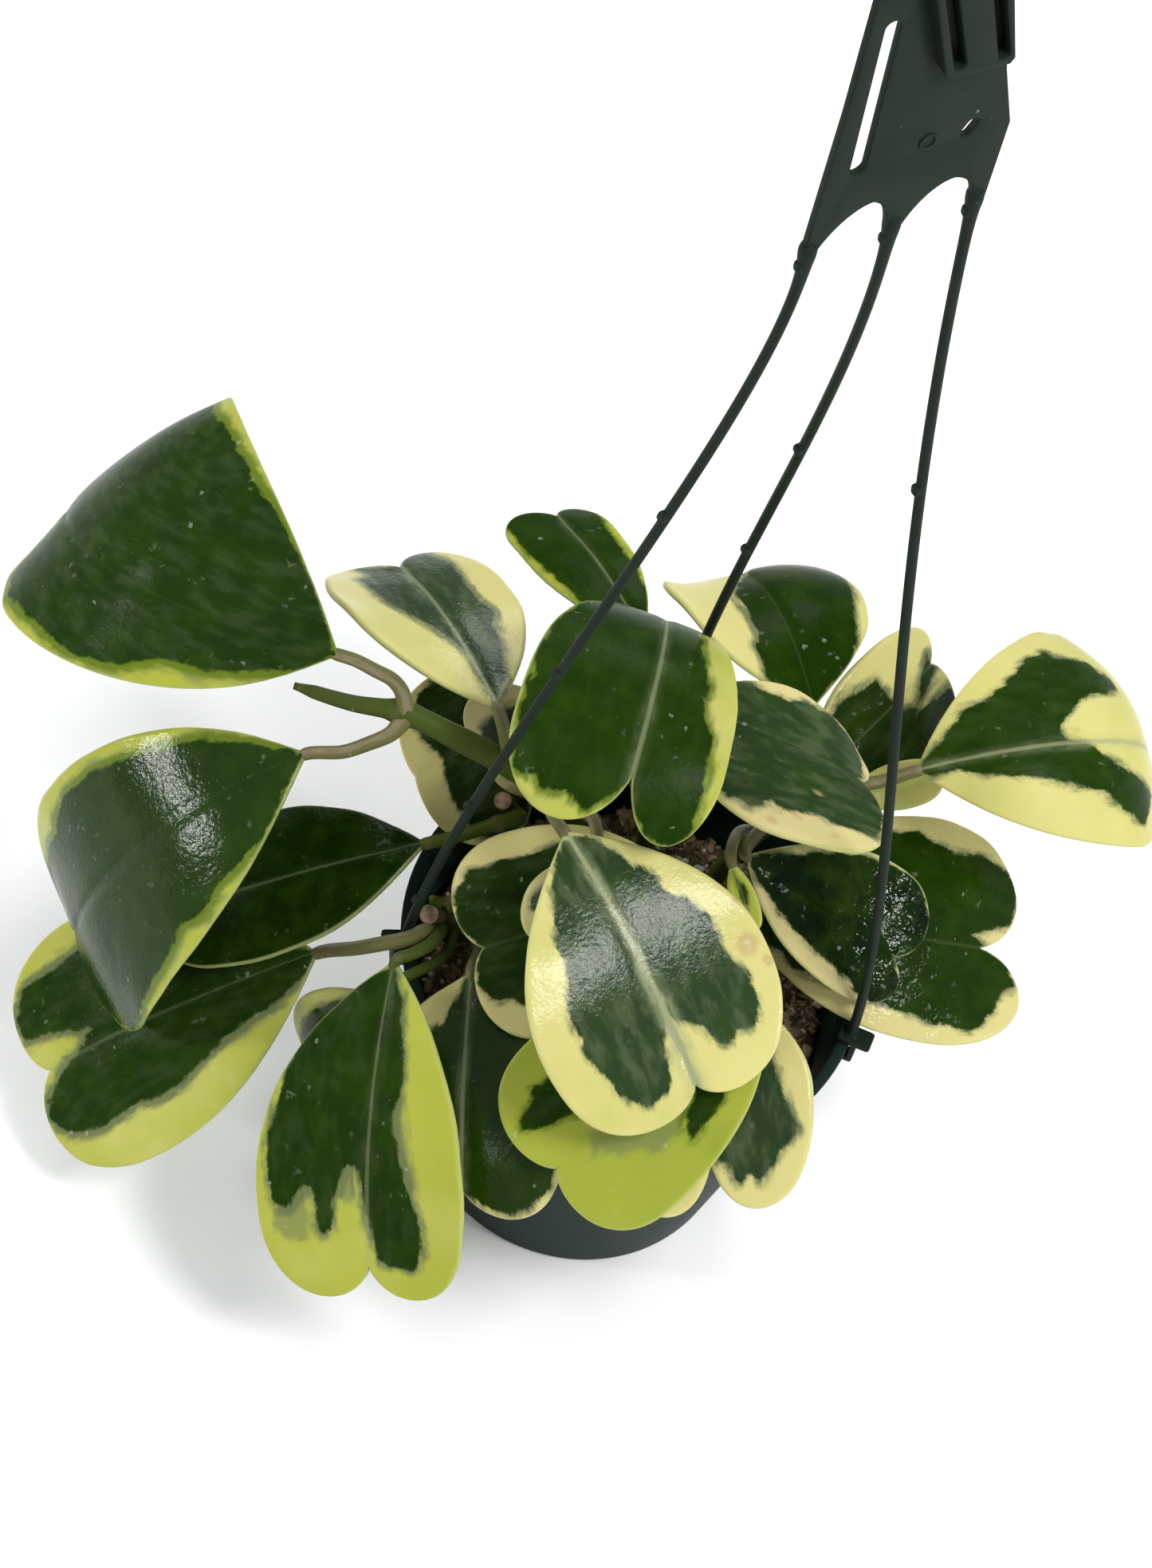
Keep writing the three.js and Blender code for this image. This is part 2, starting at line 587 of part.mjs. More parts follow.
// The hook: a bar that runs up from the shank and round to an open mouth at the lower left.
function hookOutline() {
  const half = HOOK_BAR / 2;
  const outer = HOOK_RADIUS + HOOK_BAR;
  const middle = HOOK_RADIUS + half;
  const joint = -Math.acos(half / outer);
  const tip = 205 * DEGREE;
  const shape = new THREE.Shape();
  shape.moveTo(half, NECK_TOP - 4);
  shape.absarc(0, HOOK_CENTRE, outer, joint, tip, false);
  const end = [middle * Math.cos(tip), HOOK_CENTRE + middle * Math.sin(tip)];
  shape.absarc(end[0], end[1], half, tip, tip + Math.PI, false);
  shape.absarc(0, HOOK_CENTRE, HOOK_RADIUS, tip, joint - 0.35, true);
  shape.lineTo(-half, HOOK_CENTRE - outer);
  shape.lineTo(-half, NECK_TOP - 4);
  shape.closePath();
  return shape;
}

function plateSolid() {
  const outline = plateOutline();
  outline.holes.push(slot(-12.3, 22.5, -10.9, 61.5, 1.8));
  outline.holes.push(slot(13, 22.7, 14.4, 24.8, 1.3));
  const plate = onPlate(outline, PLATE_THICKNESS, 0);
  const rise = SHANK_THICKNESS / 2 - 1;
  const shank = onPlate(shankOutline(), SHANK_THICKNESS, rise);
  const hook = onPlate(hookOutline(), HOOK_BAR, rise);
  const channels = [slot(4.5, 49, -3.5, 78, 1.4), slot(15, 48, 10, 68, 1.4)].map((path) => {
    const depth = SHANK_THICKNESS - PLATE_THICKNESS;
    return onPlate(new THREE.Shape(path.getPoints(4)), depth, SHANK_THICKNESS - 1 - depth / 2 + 0.4);
  });
  return plate.add(shank).add(hook).subtract(channels[0]).subtract(channels[1]);
}

// A strand leaves the plate along its face, bows out and stands on its clip, leaning in a little.
function strandCurve(strand) {
  const angle = strand.angle * DEGREE;
  const out = new THREE.Vector3(Math.cos(angle), Math.sin(angle), 0);
  const foot = out.clone().multiplyScalar(CLIP_RADIUS);
  foot.z = CLIP_TOP - 0.6;
  const lean = strand.lean * DEGREE;
  const above = foot.clone().addScaledVector(out, -strand.foot * Math.sin(lean));
  above.z += strand.foot * Math.cos(lean);
  const head = platePlace(strand.side * STRAND_SPREAD, -GAP, 0);
  const below = platePlace(strand.side * STRAND_SPREAD, -GAP - strand.head, 0);
  return new THREE.CubicBezierCurve3(head, below, above, foot);
}

// A block by its size, the distance of its middle from the pot's axis and the height of its top.
function block(size, distance, top) {
  const geometry = new THREE.BoxGeometry(size.width, size.depth, size.height);
  geometry.translate(distance, 0, top - size.height / 2);
  return geometry;
}

// The clip: a tab over the rim, and a leg outside it with a barb under the lip.
function clipSolid(angle) {
  const outside = RIM_RADIUS + GAP;
  const tab = block(CLIP_TAB, RIM_RADIUS + 0.8, CLIP_TOP);
  const leg = block(CLIP_LEG, outside + CLIP_LEG.width / 2, CLIP_TOP - 0.5);
  const barb = block(CLIP_BARB, outside - 0.6, POT_HEIGHT - RIM_DEPTH - GAP);
  const pieces = [tab, leg, barb].map((geometry) => solid(geometry.rotateZ(angle)));
  return pieces.reduce((sum, piece) => sum.add(piece));
}

function strandSolid(strand) {
  const curve = strandCurve(strand);
  const section = new THREE.Shape();
  for (let i = 0; i < STRAND_SIDES; i += 1) {
    const angle = (i / STRAND_SIDES) * 2 * Math.PI;
    const x = STRAND_RADIUS * Math.cos(angle);
    const y = STRAND_RADIUS * Math.sin(angle);
    if (i === 0) section.moveTo(x, y);
    else section.lineTo(x, y);
  }
  const options = { steps: STRAND_STEPS, bevelEnabled: false, extrudePath: curve };
  let body = solid(new THREE.ExtrudeGeometry(section, options));
  strand.nubs.forEach((u) => {
    const nub = new THREE.SphereGeometry(NUB_RADIUS, 5, 3);
    const place = curve.getPointAt(u);
    nub.translate(place.x - 1.1 * Math.cos(PLATE_TURN), place.y - 1.1 * Math.sin(PLATE_TURN), place.z);
    body = body.add(solid(nub));
  });
  return body.add(clipSolid(strand.angle * DEGREE));
}

const part = new THREE.Group();

function addPiece(name, body, look) {
  const mesh = new THREE.Mesh(geometryOf(body), new THREE.MeshStandardMaterial(COLOURS[look]));
  mesh.name = name;
  part.add(mesh);
}

addPiece('pot', potSolid(), 'plastic');
addPiece('soil', soilSolid(), 'soil');
Object.entries(STEMS).forEach(([name, stem]) => addPiece(name, solid(stemTube(stem, 0)), 'stem'));
Object.entries(LEAVES).forEach(([name, leaf]) => addPiece(name, leafSolid(leaf), 'leaf'));
addPiece('hanger_plate', plateSolid(), 'plastic');
Object.entries(STRANDS).forEach(([name, strand]) => addPiece(name, strandSolid(strand), 'plastic'));

export default part;
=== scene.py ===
"""Looks of a variegated sweetheart hoya in its hanging pot, laid out as a Blender add-on.

Every piece is a surface worked out in millimetres, about the centre of the pot's underside, and is
put into its mesh in metres. Leaves, stems, soil, pot and hanger each have an operator.
"""

import math

import bpy
import numpy as np
from bpy.props import FloatProperty, FloatVectorProperty, IntProperty, PointerProperty
from mathutils import Matrix


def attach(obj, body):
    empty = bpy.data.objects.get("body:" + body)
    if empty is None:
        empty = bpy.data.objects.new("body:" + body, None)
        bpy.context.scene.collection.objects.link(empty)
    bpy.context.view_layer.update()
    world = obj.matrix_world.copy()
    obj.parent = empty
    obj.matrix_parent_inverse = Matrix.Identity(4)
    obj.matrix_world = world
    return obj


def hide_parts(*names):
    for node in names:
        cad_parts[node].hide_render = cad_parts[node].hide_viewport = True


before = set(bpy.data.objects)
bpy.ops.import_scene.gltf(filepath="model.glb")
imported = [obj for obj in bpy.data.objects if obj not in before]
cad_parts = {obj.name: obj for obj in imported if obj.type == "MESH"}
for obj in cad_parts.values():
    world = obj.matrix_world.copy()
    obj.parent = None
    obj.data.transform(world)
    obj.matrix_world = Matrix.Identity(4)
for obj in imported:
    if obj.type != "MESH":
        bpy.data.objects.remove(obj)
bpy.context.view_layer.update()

bl_info = {
    "name": "Potted sweetheart hoya",
    "version": (1, 0, 0),
    "blender": (4, 5, 0),
    "location": "3D View > Sidebar > Hoya",
    "description": "Builds the leaves, stems, soil, pot and hanger of a potted hoya",
    "category": "Add Mesh",
}

MILLIMETRE = 0.001
DEGREE = math.pi / 180

# Pot and soil, in millimetres.
POT_HEIGHT = 90
RIM_RADIUS = 57.5
RIM_WIDTH = 3
RIM_DEPTH = 6
BASE_RADIUS = 40
WALL = 1.6
WALL_TOP_RADIUS = RIM_RADIUS - 3.2
DRAIN_HOLES = 6
DRAIN_RADIUS = 4
DRAIN_CIRCLE = 28
FLOOR_DISC = 20
SOIL_TOP = POT_HEIGHT - 18
SOIL_RELIEF = 1.2
CRUMBLE = 0.45
BITS_RADIUS = 49

# Hanger.
STRAND_RADIUS = 1.25
NUB_HALF = (1.1, 1.2, 1.5)
PLATE_BOTTOM = POT_HEIGHT + 298
PLATE_TURN = 43 * DEGREE
PLATE_LEAN = 7 * DEGREE
STRAND_SPREAD = 20
CLIP_TOP = POT_HEIGHT + 2.3
CLIP_RADIUS = RIM_RADIUS - 0.5

# The camera's height over the rim and its roll, and how far, in metres, its axis passes to the left
# of the rim's centre and above it. The view points to the camera. The leaves face that side too,
# because their light comes from there.
ELEVATION = 57 * DEGREE
ROLL = 18 * DEGREE
AXIS_LEFT, AXIS_ABOVE = 0.0141, 0.0404
SENSOR_WIDTH = 36
VIEW = np.array([0, -math.cos(ELEVATION), math.sin(ELEVATION)])

# How finely the pieces are made: the steps of a millimetre to which points are rounded before they
# are joined, sides of stems, strands and pot, steps along stalks and strands, and the rows of a leaf
# with the columns on each side of its rib, fewer up to the width of a small leaf.
WELD_STEPS = 2000
STEM_SIDES, STRAND_SIDES, POT_SIDES = 24, 16, 96
STALK_STEPS, STRAND_STEPS = 36, 90
LEAF_GRID, SMALL_LEAF_GRID, SMALL_LEAF_WIDTH = (74, 24), (40, 12), 20

# Depth and reach of the rib's groove on a blade's upper side and of its keel below, how far in from
# the margin they fade, and depth and reach, in radians, of the groove along a leaf stalk.
RIB_GROOVE, RIB_KEEL, RIB_FADE = (0.45, 1.5), (0.55, 1.2), 6
STALK_GROOVE, GROOVE_REACH = 0.28, 0.4

# Stems: centre line, radius, radius at the tip, and the place of the swollen joint on the line. A
# dried tip is narrow and brown. Shoots are small buds: their start, end and three radii.
STEMS = {
    "vine_left": dict(radius=3.1, tip=1.5, dried=1, node=6, path=(
        (-10, 22, 60), (-13, 21, 80), (-18, 21, 103), (-29, 15, 121), (-43, 12, 133), (-57, 11, 139),
        (-70, 11, 142), (-83, 9, 142), (-97, 8, 143))),
    "vine_back": dict(radius=2.3, tip=2, node=None, path=(
        (-3, 28, 60), (-5, 33, 84), (-9, 43, 108), (-11, 47, 117))),
    "vine_right": dict(radius=2.3, tip=1.8, node=None, path=(
        (11, 27, 60), (13, 27, 84), (17, 28, 104), (22, 30, 118), (25, 38, 128), (25, 45, 133))),
    "stem_centre": dict(radius=2.3, tip=2, node=None, path=(
        (12, 2, 60), (13, 4, 82), (14, 7, 100), (13, 8, 110))),
    "stem_cut": dict(radius=2.2, tip=2.2, node=None, path=(
        (-25, 18, 60), (-29, 20, 80), (-36, 20, 97), (-41, 17, 109), (-41.5, 12, 117))),
    "stem_left": dict(radius=2.4, tip=2.5, node=None, path=(
        (-42, -2, 60), (-44, -4, 78), (-47, -8, 89), (-50, -13.5, 98)), shoots=(
        ((-48, -8, 94), (-50.4, -10.7, 101), (0.8, 1.6, 0.8)),
        ((-46, -7, 90), (-46, -9, 97), (1.1, 1, 0.9)))),
}

# Leaves. The blade starts at its stalk and ends at the notch between its lobes. Width and lobe depth
# are in millimetres, belly is where the blade is widest. Droop, roll, twist and cup bend it, in
# degrees, and skew makes its right half the wider. Petiole is the stalk's line up to the blade.
# Patch holds the outlines of the green patch, as places across and along the blade, or share says
# how much of the width the patch takes. Pale holds outlines of greyed tongues, spots the places and
# radii of brown spots, and halo the width of the greyed zone around the patch. Cream runs from deep
# lime below 0 over lime and cream to ivory above 1, blue from olive to bluish green, and dark and
# rib are strengths. Skin names a duller or wetter skin than the waxy one, stalk is a stalk's radius
# where it isn't worked out from the width, knot is how far along the stalk a corky knot sits, and a
# fresh leaf has a green stalk.
LEAVES = {
    # Its blue greys the whole blade: partly its own grey mottling, partly a broad sheen painted into its
    # colour.
    "leaf_upper_left": dict(
        at=(-89, 13, 154), notch=(-164, 48, 124), width=77, lobe=8, belly=0.74, droop=116, roll=-18,
        twist=-22, cup=(6, -25), skew=0.34,
        petiole=((-70, 11, 143.5), (-72, 12.5, 148), (-75, 13, 151), (-79.5, 13, 152.5), (-84.5, 13, 154)),
        patch=[[(0, 0), (-6, 10), (-12, 29), (-13, 39), (-19, 48), (-22, 60), (-21, 76), (-22, 92),
            (-20, 100), (-14, 102), (14, 106), (30, 104), (37, 97), (48, 94), (44, 59), (41, 48), (37, 39),
            (28, 24), (14, 10), (4, 4)]],
        cream=0.12, blue=0.35, dark=0.18, halo=2.6, rib=0.03, skin="dull"),
    "leaf_middle_left": dict(
        at=(-89, -4, 135), notch=(-131, -27, 62), width=63, lobe=8, belly=0.79, droop=76, roll=26, twist=0,
        cup=(-14, 8), skew=-0.05,
        petiole=((-70, 8.5, 141.5), (-71.5, 5.5, 140), (-76, 2, 138), (-81, -1, 136)),
        patch=[[(0, 0), (14, 22), (23, 54), (24, 66), (22, 77), (20, 79), (21, 86), (20, 96), (18, 100),
            (0, 104), (-12, 104), (-19, 101), (-31, 90), (-32, 80), (-30, 74), (-28, 58), (-23, 46),
            (-24, 39), (-20, 32), (-16, 18)]],
        cream=0.05, blue=0, dark=0.2, halo=2.6, rib=0.03),
    "leaf_dark_left": dict(
        at=(-56, 3, 102), notch=(-109, -19, 72), width=42, lobe=5, belly=0.62, droop=13, roll=32, twist=0,
        cup=(1, -11), skew=0.01,
        petiole=((-37, 14, 109), (-43, 10, 107), (-50, 6, 104)),
        share=1.2,
        cream=0.2, blue=0, dark=0.75, halo=0, rib=0.3, knot=5, fresh=True),
    "leaf_lower_left": dict(
        at=(-73, -22, 79), notch=(-128, -48, 28), width=64, lobe=8, belly=0.66, droop=33, roll=20, twist=5,
        cup=(-14, -1), skew=0.01,
        petiole=((-47, -10, 88), (-49.7, -17.4, 96.4), (-53.3, -22.7, 99), (-58.3, -26.2, 99.5),
            (-64.2, -25.5, 92.4)),
        patch=[[(0, 0), (-4, 4), (-8, 11), (-12, 28), (-19, 46), (-18, 58), (-19, 69), (-18, 75),
            (-17, 80), (-14, 84), (-10, 86), (-7, 84), (0, 73), (0, 70), (4, 63), (8, 74), (10, 85),
            (16, 86), (22, 80), (23, 64), (26, 55), (24, 42), (20, 31)]],
        cream=0.3, blue=0.25, dark=0.3, halo=2.2, rib=0.2, stalk=1.8, skin="dull"),
    "leaf_lower_front": dict(
        at=(-54, -33, 105), notch=(-37, -88, 55), width=55, lobe=9, belly=0.64, droop=35, roll=26,
        twist=16, cup=(24, -8), skew=0.05,
        petiole=((-47, -11, 90), (-46.5, -17.5, 96.5), (-48, -25, 102.5), (-51, -30, 105)),
        patch=[[(0, 1), (-4, 8), (-7, 19), (-8, 28), (-6, 36), (-7, 43), (-14, 64), (-14, 70), (-12, 76),
            (-5, 76), (-3, 74), (3, 51), (5, 50), (8, 58), (9, 68), (12, 68), (13, 58), (15, 56), (20, 63),
            (24, 63), (26, 52), (26, 46), (23, 31), (18, 16), (14, 11)]],
        pale=[[(-1, 4), (-8, 20), (-10, 40), (-14, 54), (-14, 64), (-9, 65), (-4, 46)], [(25, 60),
            (24, 67), (22, 71), (15, 70), (14, 54), (22, 55)], [(7, 40), (8, 59), (2, 60), (2, 50),
            (4, 40)]],
        cream=0.15, blue=0.2, dark=0.3, halo=1.2, rib=0.35, skin="dull", fresh=True),
    "leaf_under_front": dict(
        at=(-36, -24, 96), notch=(-22, -70, 75), width=52, lobe=7, belly=0.65, droop=52, roll=4, twist=-8,
        cup=(19, -1), skew=-0.02,
        petiole=((-43, -2, 73), (-36, -8, 86)),
        patch=[[(0, 2), (6, 14), (14, 20), (19, 31), (21, 44), (18, 54), (12, 57), (6, 56), (1, 53),
            (-6, 58), (-12, 59), (-19, 56), (-23, 52), (-26, 42), (-26, 32), (-16, 13)]],
        cream=1.4, blue=0, dark=0.05, halo=0.4, rib=0.8),
    "leaf_centre": dict(
        at=(-25, -11, 148), notch=(23, -48, 118), width=62, lobe=7, belly=0.6, droop=45, roll=-17,
        twist=-3, cup=(0, -1), skew=0.04,
        petiole=((-30, 15, 122), (-31, 4, 136), (-29, -4, 143)),
        patch=[[(0, 2), (-4, 4), (-13, 20), (-13, 23), (-18, 29), (-18, 32), (-20, 34), (-19, 38),
            (-20, 46), (-22, 50), (-22, 57), (-20, 62), (-16, 62), (-14, 60), (-12, 64), (-9, 62),
            (-6, 56), (0, 50), (4, 56), (6, 66), (10, 68), (14, 68), (19, 60), (22, 48), (21, 44),
            (23, 42), (16, 26), (16, 22), (10, 10), (2, 2)]],
        spots=((-25, 44, 4.2), (-28, 50, 2.2), (-27, 34, 1.4)),
        cream=0.8, blue=1, dark=0, halo=0.5, rib=1.4),
    "leaf_lime_front": dict(
        at=(31, -13, 122), notch=(-2, -67, 93), width=53, lobe=4, belly=0.74, droop=20, roll=5, twist=-3,
        cup=(8, -2), skew=0.01,
        petiole=((14, 6, 97), (21, 1, 110)),
        patch=[[(17, 58), (18, 61), (16, 62), (14, 68), (12, 70), (6, 58), (5, 53), (11, 50), (16, 50)],
            [(-10, 34), (-14, 40), (-16, 42), (-18, 42), (-16, 30), (-14, 28), (-12, 20), (-7, 11), (0, 2),
            (4, 10), (2, 20)]],
        pale=[[(1, 59), (-4, 62), (-5, 59), (-8, 57), (-14, 49), (-14, 46), (-16, 44), (-10, 34), (-5, 40),
            (0, 51)]],
        cream=-0.45, blue=0.2, dark=0.2, halo=0.6, rib=0, skin="dull"),
    "leaf_right_front": dict(
        at=(15, -9, 108), notch=(33, -53, 93), width=51, lobe=13, belly=0.53, droop=38, roll=0, twist=4,
        cup=(3, 2), skew=-0.01,
        petiole=((12, 3, 84), (13, -4, 97)),
        patch=[[(0, 0), (-14, 18), (-18, 34), (-22, 43), (-11, 56), (-9, 53), (-7, 56), (-5, 54), (-4, 50),
            (-2, 50), (0, 47), (10, 54), (17, 55), (22, 48), (24, 40), (24, 30), (20, 20), (13, 10)]],
        cream=1.1, blue=1, dark=0.1, halo=1.2, rib=0.3),
    "leaf_inner_left": dict(
        at=(10, 3, 121), notch=(-35, -24, 108), width=51, lobe=5, belly=0.7, droop=21, roll=9, twist=1,
        cup=(-1, 7), skew=-0.01,
        petiole=((13, 8, 109), (11, 6, 116)),
        patch=[[(0, 0), (13, 16), (19, 30), (18, 34), (19, 52), (14, 57), (6, 59), (0, 54), (-1, 56),
            (-8, 58), (-12, 56), (-14, 54), (-14, 51), (-18, 44), (-17, 24), (-11, 12), (-3, 2)]],
        cream=1.6, blue=0.35, dark=0.4, halo=0.5, rib=0.12, skin="dull"),
    "leaf_inner_small": dict(
        at=(-16, -4, 133), notch=(-17, -19, 118), width=28, lobe=5, belly=0.61, droop=17, roll=3, twist=2,
        cup=(0, -1), skew=-0.09,
        petiole=((-24, 18, 114), (-19, 8, 127)),
        patch=[[(11, 16), (10, 18), (2, 17), (-2, 12), (2, 6), (6, 8)]],
        cream=1.6, blue=0.5, dark=0.3, halo=0.2, rib=0),
    "leaf_top_centre": dict(
        at=(-18, 56, 144), notch=(-14, -4, 168), width=52, lobe=14, belly=0.76, droop=98, roll=-5, twist=0,
        cup=(-14, 2), skew=0.18,
        petiole=((-11, 46, 115), (-12, 51, 127), (-15, 54, 136)),
        patch=[[(23, 29), (30, 50), (30, 53), (28, 55), (30, 58), (29, 60), (30, 65), (27, 78), (24, 79),
            (21, 78), (20, 81), (13, 80), (12, 82), (8, 83), (0, 74), (-2, 80), (-7, 85), (-14, 86),
            (-17, 81), (-17, 74), (-16, 60), (-12, 50), (-12, 44), (-9, 30), (-8, 22), (-9, 14), (0, 1),
            (12, 10)]],
        cream=0.35, blue=0.1, dark=0.18, halo=1.6, rib=0.6, skin="dull"),
    "leaf_back_left": dict(
        at=(-49, 18, 145), notch=(-83, 60, 127), width=46, lobe=6, belly=0.61, droop=34, roll=33, twist=6,
        cup=(26, -10), skew=-0.1,
        petiole=((-43, 12, 133), (-45, 14, 140)),
        patch=[[(0, 1), (5, 8), (10, 23), (9, 25), (12, 30), (10, 34), (11, 52), (8, 62), (4, 62), (1, 59),
            (-2, 58), (-10, 62), (-9, 56), (-13, 54), (-12, 42), (-1, 21), (0, 17)]],
        cream=0.85, blue=1, dark=0.1, halo=1.8, rib=0.7),
    "leaf_behind_stem": dict(
        at=(-41, 40, 115), notch=(-64, 24, 96), width=45, lobe=1, belly=0.53, droop=23, roll=3, twist=-9,
        cup=(-11, -4), skew=-0.09,
        petiole=((-17, 21, 98), (-27, 32, 113)),
        patch=[[(0, 0), (18, 14), (19, 20), (18, 24), (15, 27), (12, 28), (7, 28), (2, 25), (-8, 27),
            (-20, 26), (-24, 20), (-22, 14), (-16, 8)]],
        cream=1.6, blue=0.6, dark=0.5, halo=0.6, rib=0.1, skin="dull"),
    "leaf_back_dark": dict(
        at=(-21, 57, 136), notch=(-51, 93, 122), width=27, lobe=4, belly=0.8, droop=27, roll=27, twist=-9,
        cup=(-10, 1), skew=-0.17,
        petiole=((-9, 42, 108), (-15, 45, 120), (-20, 50, 129), (-22, 55, 134)),
        patch=[[(0, 1), (-9, 12), (-14, 35), (-14, 49), (-12, 52), (-8, 54), (0, 50), (2, 52), (6, 53),
            (9, 50), (10, 46), (8, 36), (8, 19), (7, 14), (2, 2)]],
        cream=0.05, blue=0, dark=0.18, halo=0.8, rib=0.4, skin="dull"),
    "leaf_back_right": dict(
        at=(23, 50, 140), notch=(-2, 90, 127), width=51, lobe=6, belly=0.6, droop=75, roll=22, twist=11,
        cup=(36, -39), skew=-0.01,
        petiole=((25, 42, 131), (24, 46, 137)),
        patch=[[(0, 0), (13, 10), (16, 16), (22, 36), (23, 44), (22, 51), (10, 54), (2, 53), (-6, 42),
            (-8, 36), (-8, 22), (-10, 18), (-10, 10), (-8, 6), (-4, 4)]],
        cream=1.2, blue=0, dark=0.35, halo=1.4, rib=0.08, skin="dull"),
    "leaf_right_centre": dict(
        at=(-10, 29, 155), notch=(38, 30, 146), width=48, lobe=6, belly=0.68, droop=40, roll=-24, twist=35,
        cup=(3, -3), skew=0.27,
        petiole=((-7, 38, 97), (-13, 33, 113), (-14, 33, 134), (-13, 31, 149)),
        patch=[[(0, 0), (-7, 6), (-11, 14), (-12, 26), (-15, 34), (-16, 41), (-15, 46), (-14, 49),
            (-10, 52), (-2, 51), (0, 53), (8, 55), (14, 54), (22, 51), (22, 41), (20, 40), (22, 30),
            (20, 28), (24, 24), (22, 22), (22, 19), (20, 15)]],
        spots=((26, 29, 1.8), (23, 34, 1.6), (13, 38, 1.2), (26, 42, 1.3)),
        cream=1.8, blue=0.9, dark=0, halo=0.6, rib=0.1, skin="dull"),
    "leaf_right_back": dict(
        at=(28, 42, 118), notch=(48, 84, 125), width=36, lobe=4, belly=0.6, droop=27, roll=10, twist=-21,
        cup=(4, 3), skew=0.16,
        petiole=((20, 29, 113), (24, 37, 115)),
        patch=[[(0, 0), (-8, 12), (-10, 18), (-10, 24), (-8, 30), (3, 32), (5, 36), (-3, 47), (2, 48),
            (6, 34), (9, 49), (12, 50), (16, 46), (20, 38), (20, 26), (18, 18), (10, 8)]],
        cream=1.3, blue=0.3, dark=0.4, halo=1.6, rib=0.2),
    "leaf_far_right": dict(
        at=(51, 38, 146), notch=(104, 72, 135), width=61, lobe=8, belly=0.69, droop=116, roll=-11, twist=3,
        cup=(-41, -27), skew=-0.16,
        petiole=((25, 38, 128), (33, 36, 133), (42, 36, 138)),
        patch=[[(0, 1), (-6, 9), (-12, 14), (-12, 17), (-17, 26), (-23, 33), (-26, 42), (-24, 44),
            (-22, 56), (-19, 59), (-17, 64), (-14, 64), (-11, 46), (-9, 42), (-3, 36), (-1, 38), (0, 43),
            (6, 52), (12, 70), (20, 64), (18, 56), (12, 45), (12, 42), (8, 32), (6, 21), (2, 10), (2, 4)]],
        cream=0.75, blue=0.2, dark=0.2, halo=0.7, rib=0.8, skin="dull"),
    "leaf_dark_right": dict(
        at=(18, 11, 129), notch=(60, 9, 109), width=34, lobe=7, belly=0.68, droop=35, roll=3, twist=12,
        cup=(0, -15), skew=-0.13,
        petiole=((22, 30, 118), (20, 22, 125)),
        patch=[[(0, 0), (-4, 5), (-13, 17), (-17, 26), (-19, 38), (-17, 47), (-12, 53), (-6, 54), (-1, 49),
            (1, 49), (4, 53), (8, 54), (12, 50), (12, 43), (10, 36), (9, 26), (6, 14), (3, 6)]],
        cream=1.8, blue=0, dark=1.05, halo=0.4, rib=0, skin="wet"),
    "leaf_right_under": dict(
        at=(20, 12, 102), notch=(81, 25, 100), width=57, lobe=13, belly=0.68, droop=44, roll=-1, twist=10,
        cup=(-20, -9), skew=-0.12,
        petiole=((14, 6, 96), (17, 12, 104)),
        patch=[[(0, 1), (-11, 8), (-16, 15), (-24, 33), (-27, 46), (-25, 48), (-23, 56), (-24, 64),
            (-20, 74), (-16, 76), (-7, 73), (-3, 61), (0, 66), (0, 70), (8, 74), (11, 70), (16, 68),
            (21, 62), (18, 42), (12, 18)]],
        cream=1.6, blue=0.05, dark=0.35, halo=0.6, rib=0.1, skin="wet"),
    "leaf_right_small": dict(
        at=(37, 41, 121), notch=(58, 53, 124), width=12, lobe=1, belly=0.61, droop=17, roll=8, twist=0,
        cup=(0, 2), skew=0,
        petiole=((24, 36, 126), (30, 39, 123)),
        share=-1,
        cream=0.6, blue=0.4, dark=0.3, halo=0.2, rib=0),
    "leaf_young": dict(
        at=(15, 5, 134), notch=(25, -4, 123), width=7, lobe=1, belly=0.62, droop=10, roll=3, twist=3,
        cup=(-4, 0), skew=0.06,
        petiole=((20, 29, 113), (15, 18, 126)),
        patch=[[(0, 2), (1, 3), (1, 9), (0, 12), (-1, 8)]],
        stalk=1.5, cream=0, blue=0.1, dark=0.1, halo=0.2, rib=0.3),
    "leaf_behind_top": dict(
        at=(-30, 33, 128), notch=(-48, 26, 113), width=32, lobe=3, belly=0.6, droop=22, roll=-13, twist=9,
        cup=(-7, -4), skew=0.05,
        petiole=((-20, 20, 107), (-25, 28, 121)),
        share=0.6,
        cream=1.7, blue=0.3, dark=0.6, halo=0.4, rib=0.2),
    "leaf_low_left": dict(
        at=(-54, -34, 90), notch=(-69, -35, 55), width=25, lobe=0, belly=0.62, droop=54, roll=2, twist=-10,
        cup=(0, -5), skew=-0.11,
        petiole=((-44, -4, 81), (-43, -14, 87), (-45, -23, 93), (-51, -31, 95)),
        share=0.55,
        cream=0.5, blue=0.6, dark=0.2, halo=0.8, rib=0.2, fresh=True),
}

# Strands: the rim angle of the clip, the root on the plate, how far they run straight at the head
# and at the foot, their lean inward at the foot in degrees, and the places of their nubs.
STRANDS = {
    "strand_left": dict(angle=199, side=-1, head=50, foot=80, lean=1.5, nubs=(0.01, 0.32, 0.56, 0.77, 0.93)),
    "strand_back": dict(angle=98, side=0, head=58, foot=70, lean=-10, nubs=(0.01, 0.37, 0.6)),
    "strand_right": dict(angle=-5, side=1, head=130, foot=70, lean=1.5, nubs=(0.01, 0.3)),
}


def unit(vectors):
    """Each vector divided by its own length."""
    vectors = np.asarray(vectors, float)
    return vectors / np.maximum(np.linalg.norm(vectors, axis=-1, keepdims=True), 1e-12)


def smooth(low, high, value):
    """0 below low, 1 above high, and the smooth cubic step between them."""
    t = np.clip((value - low) / (high - low), 0, 1)
    return t * t * (3 - 2 * t)


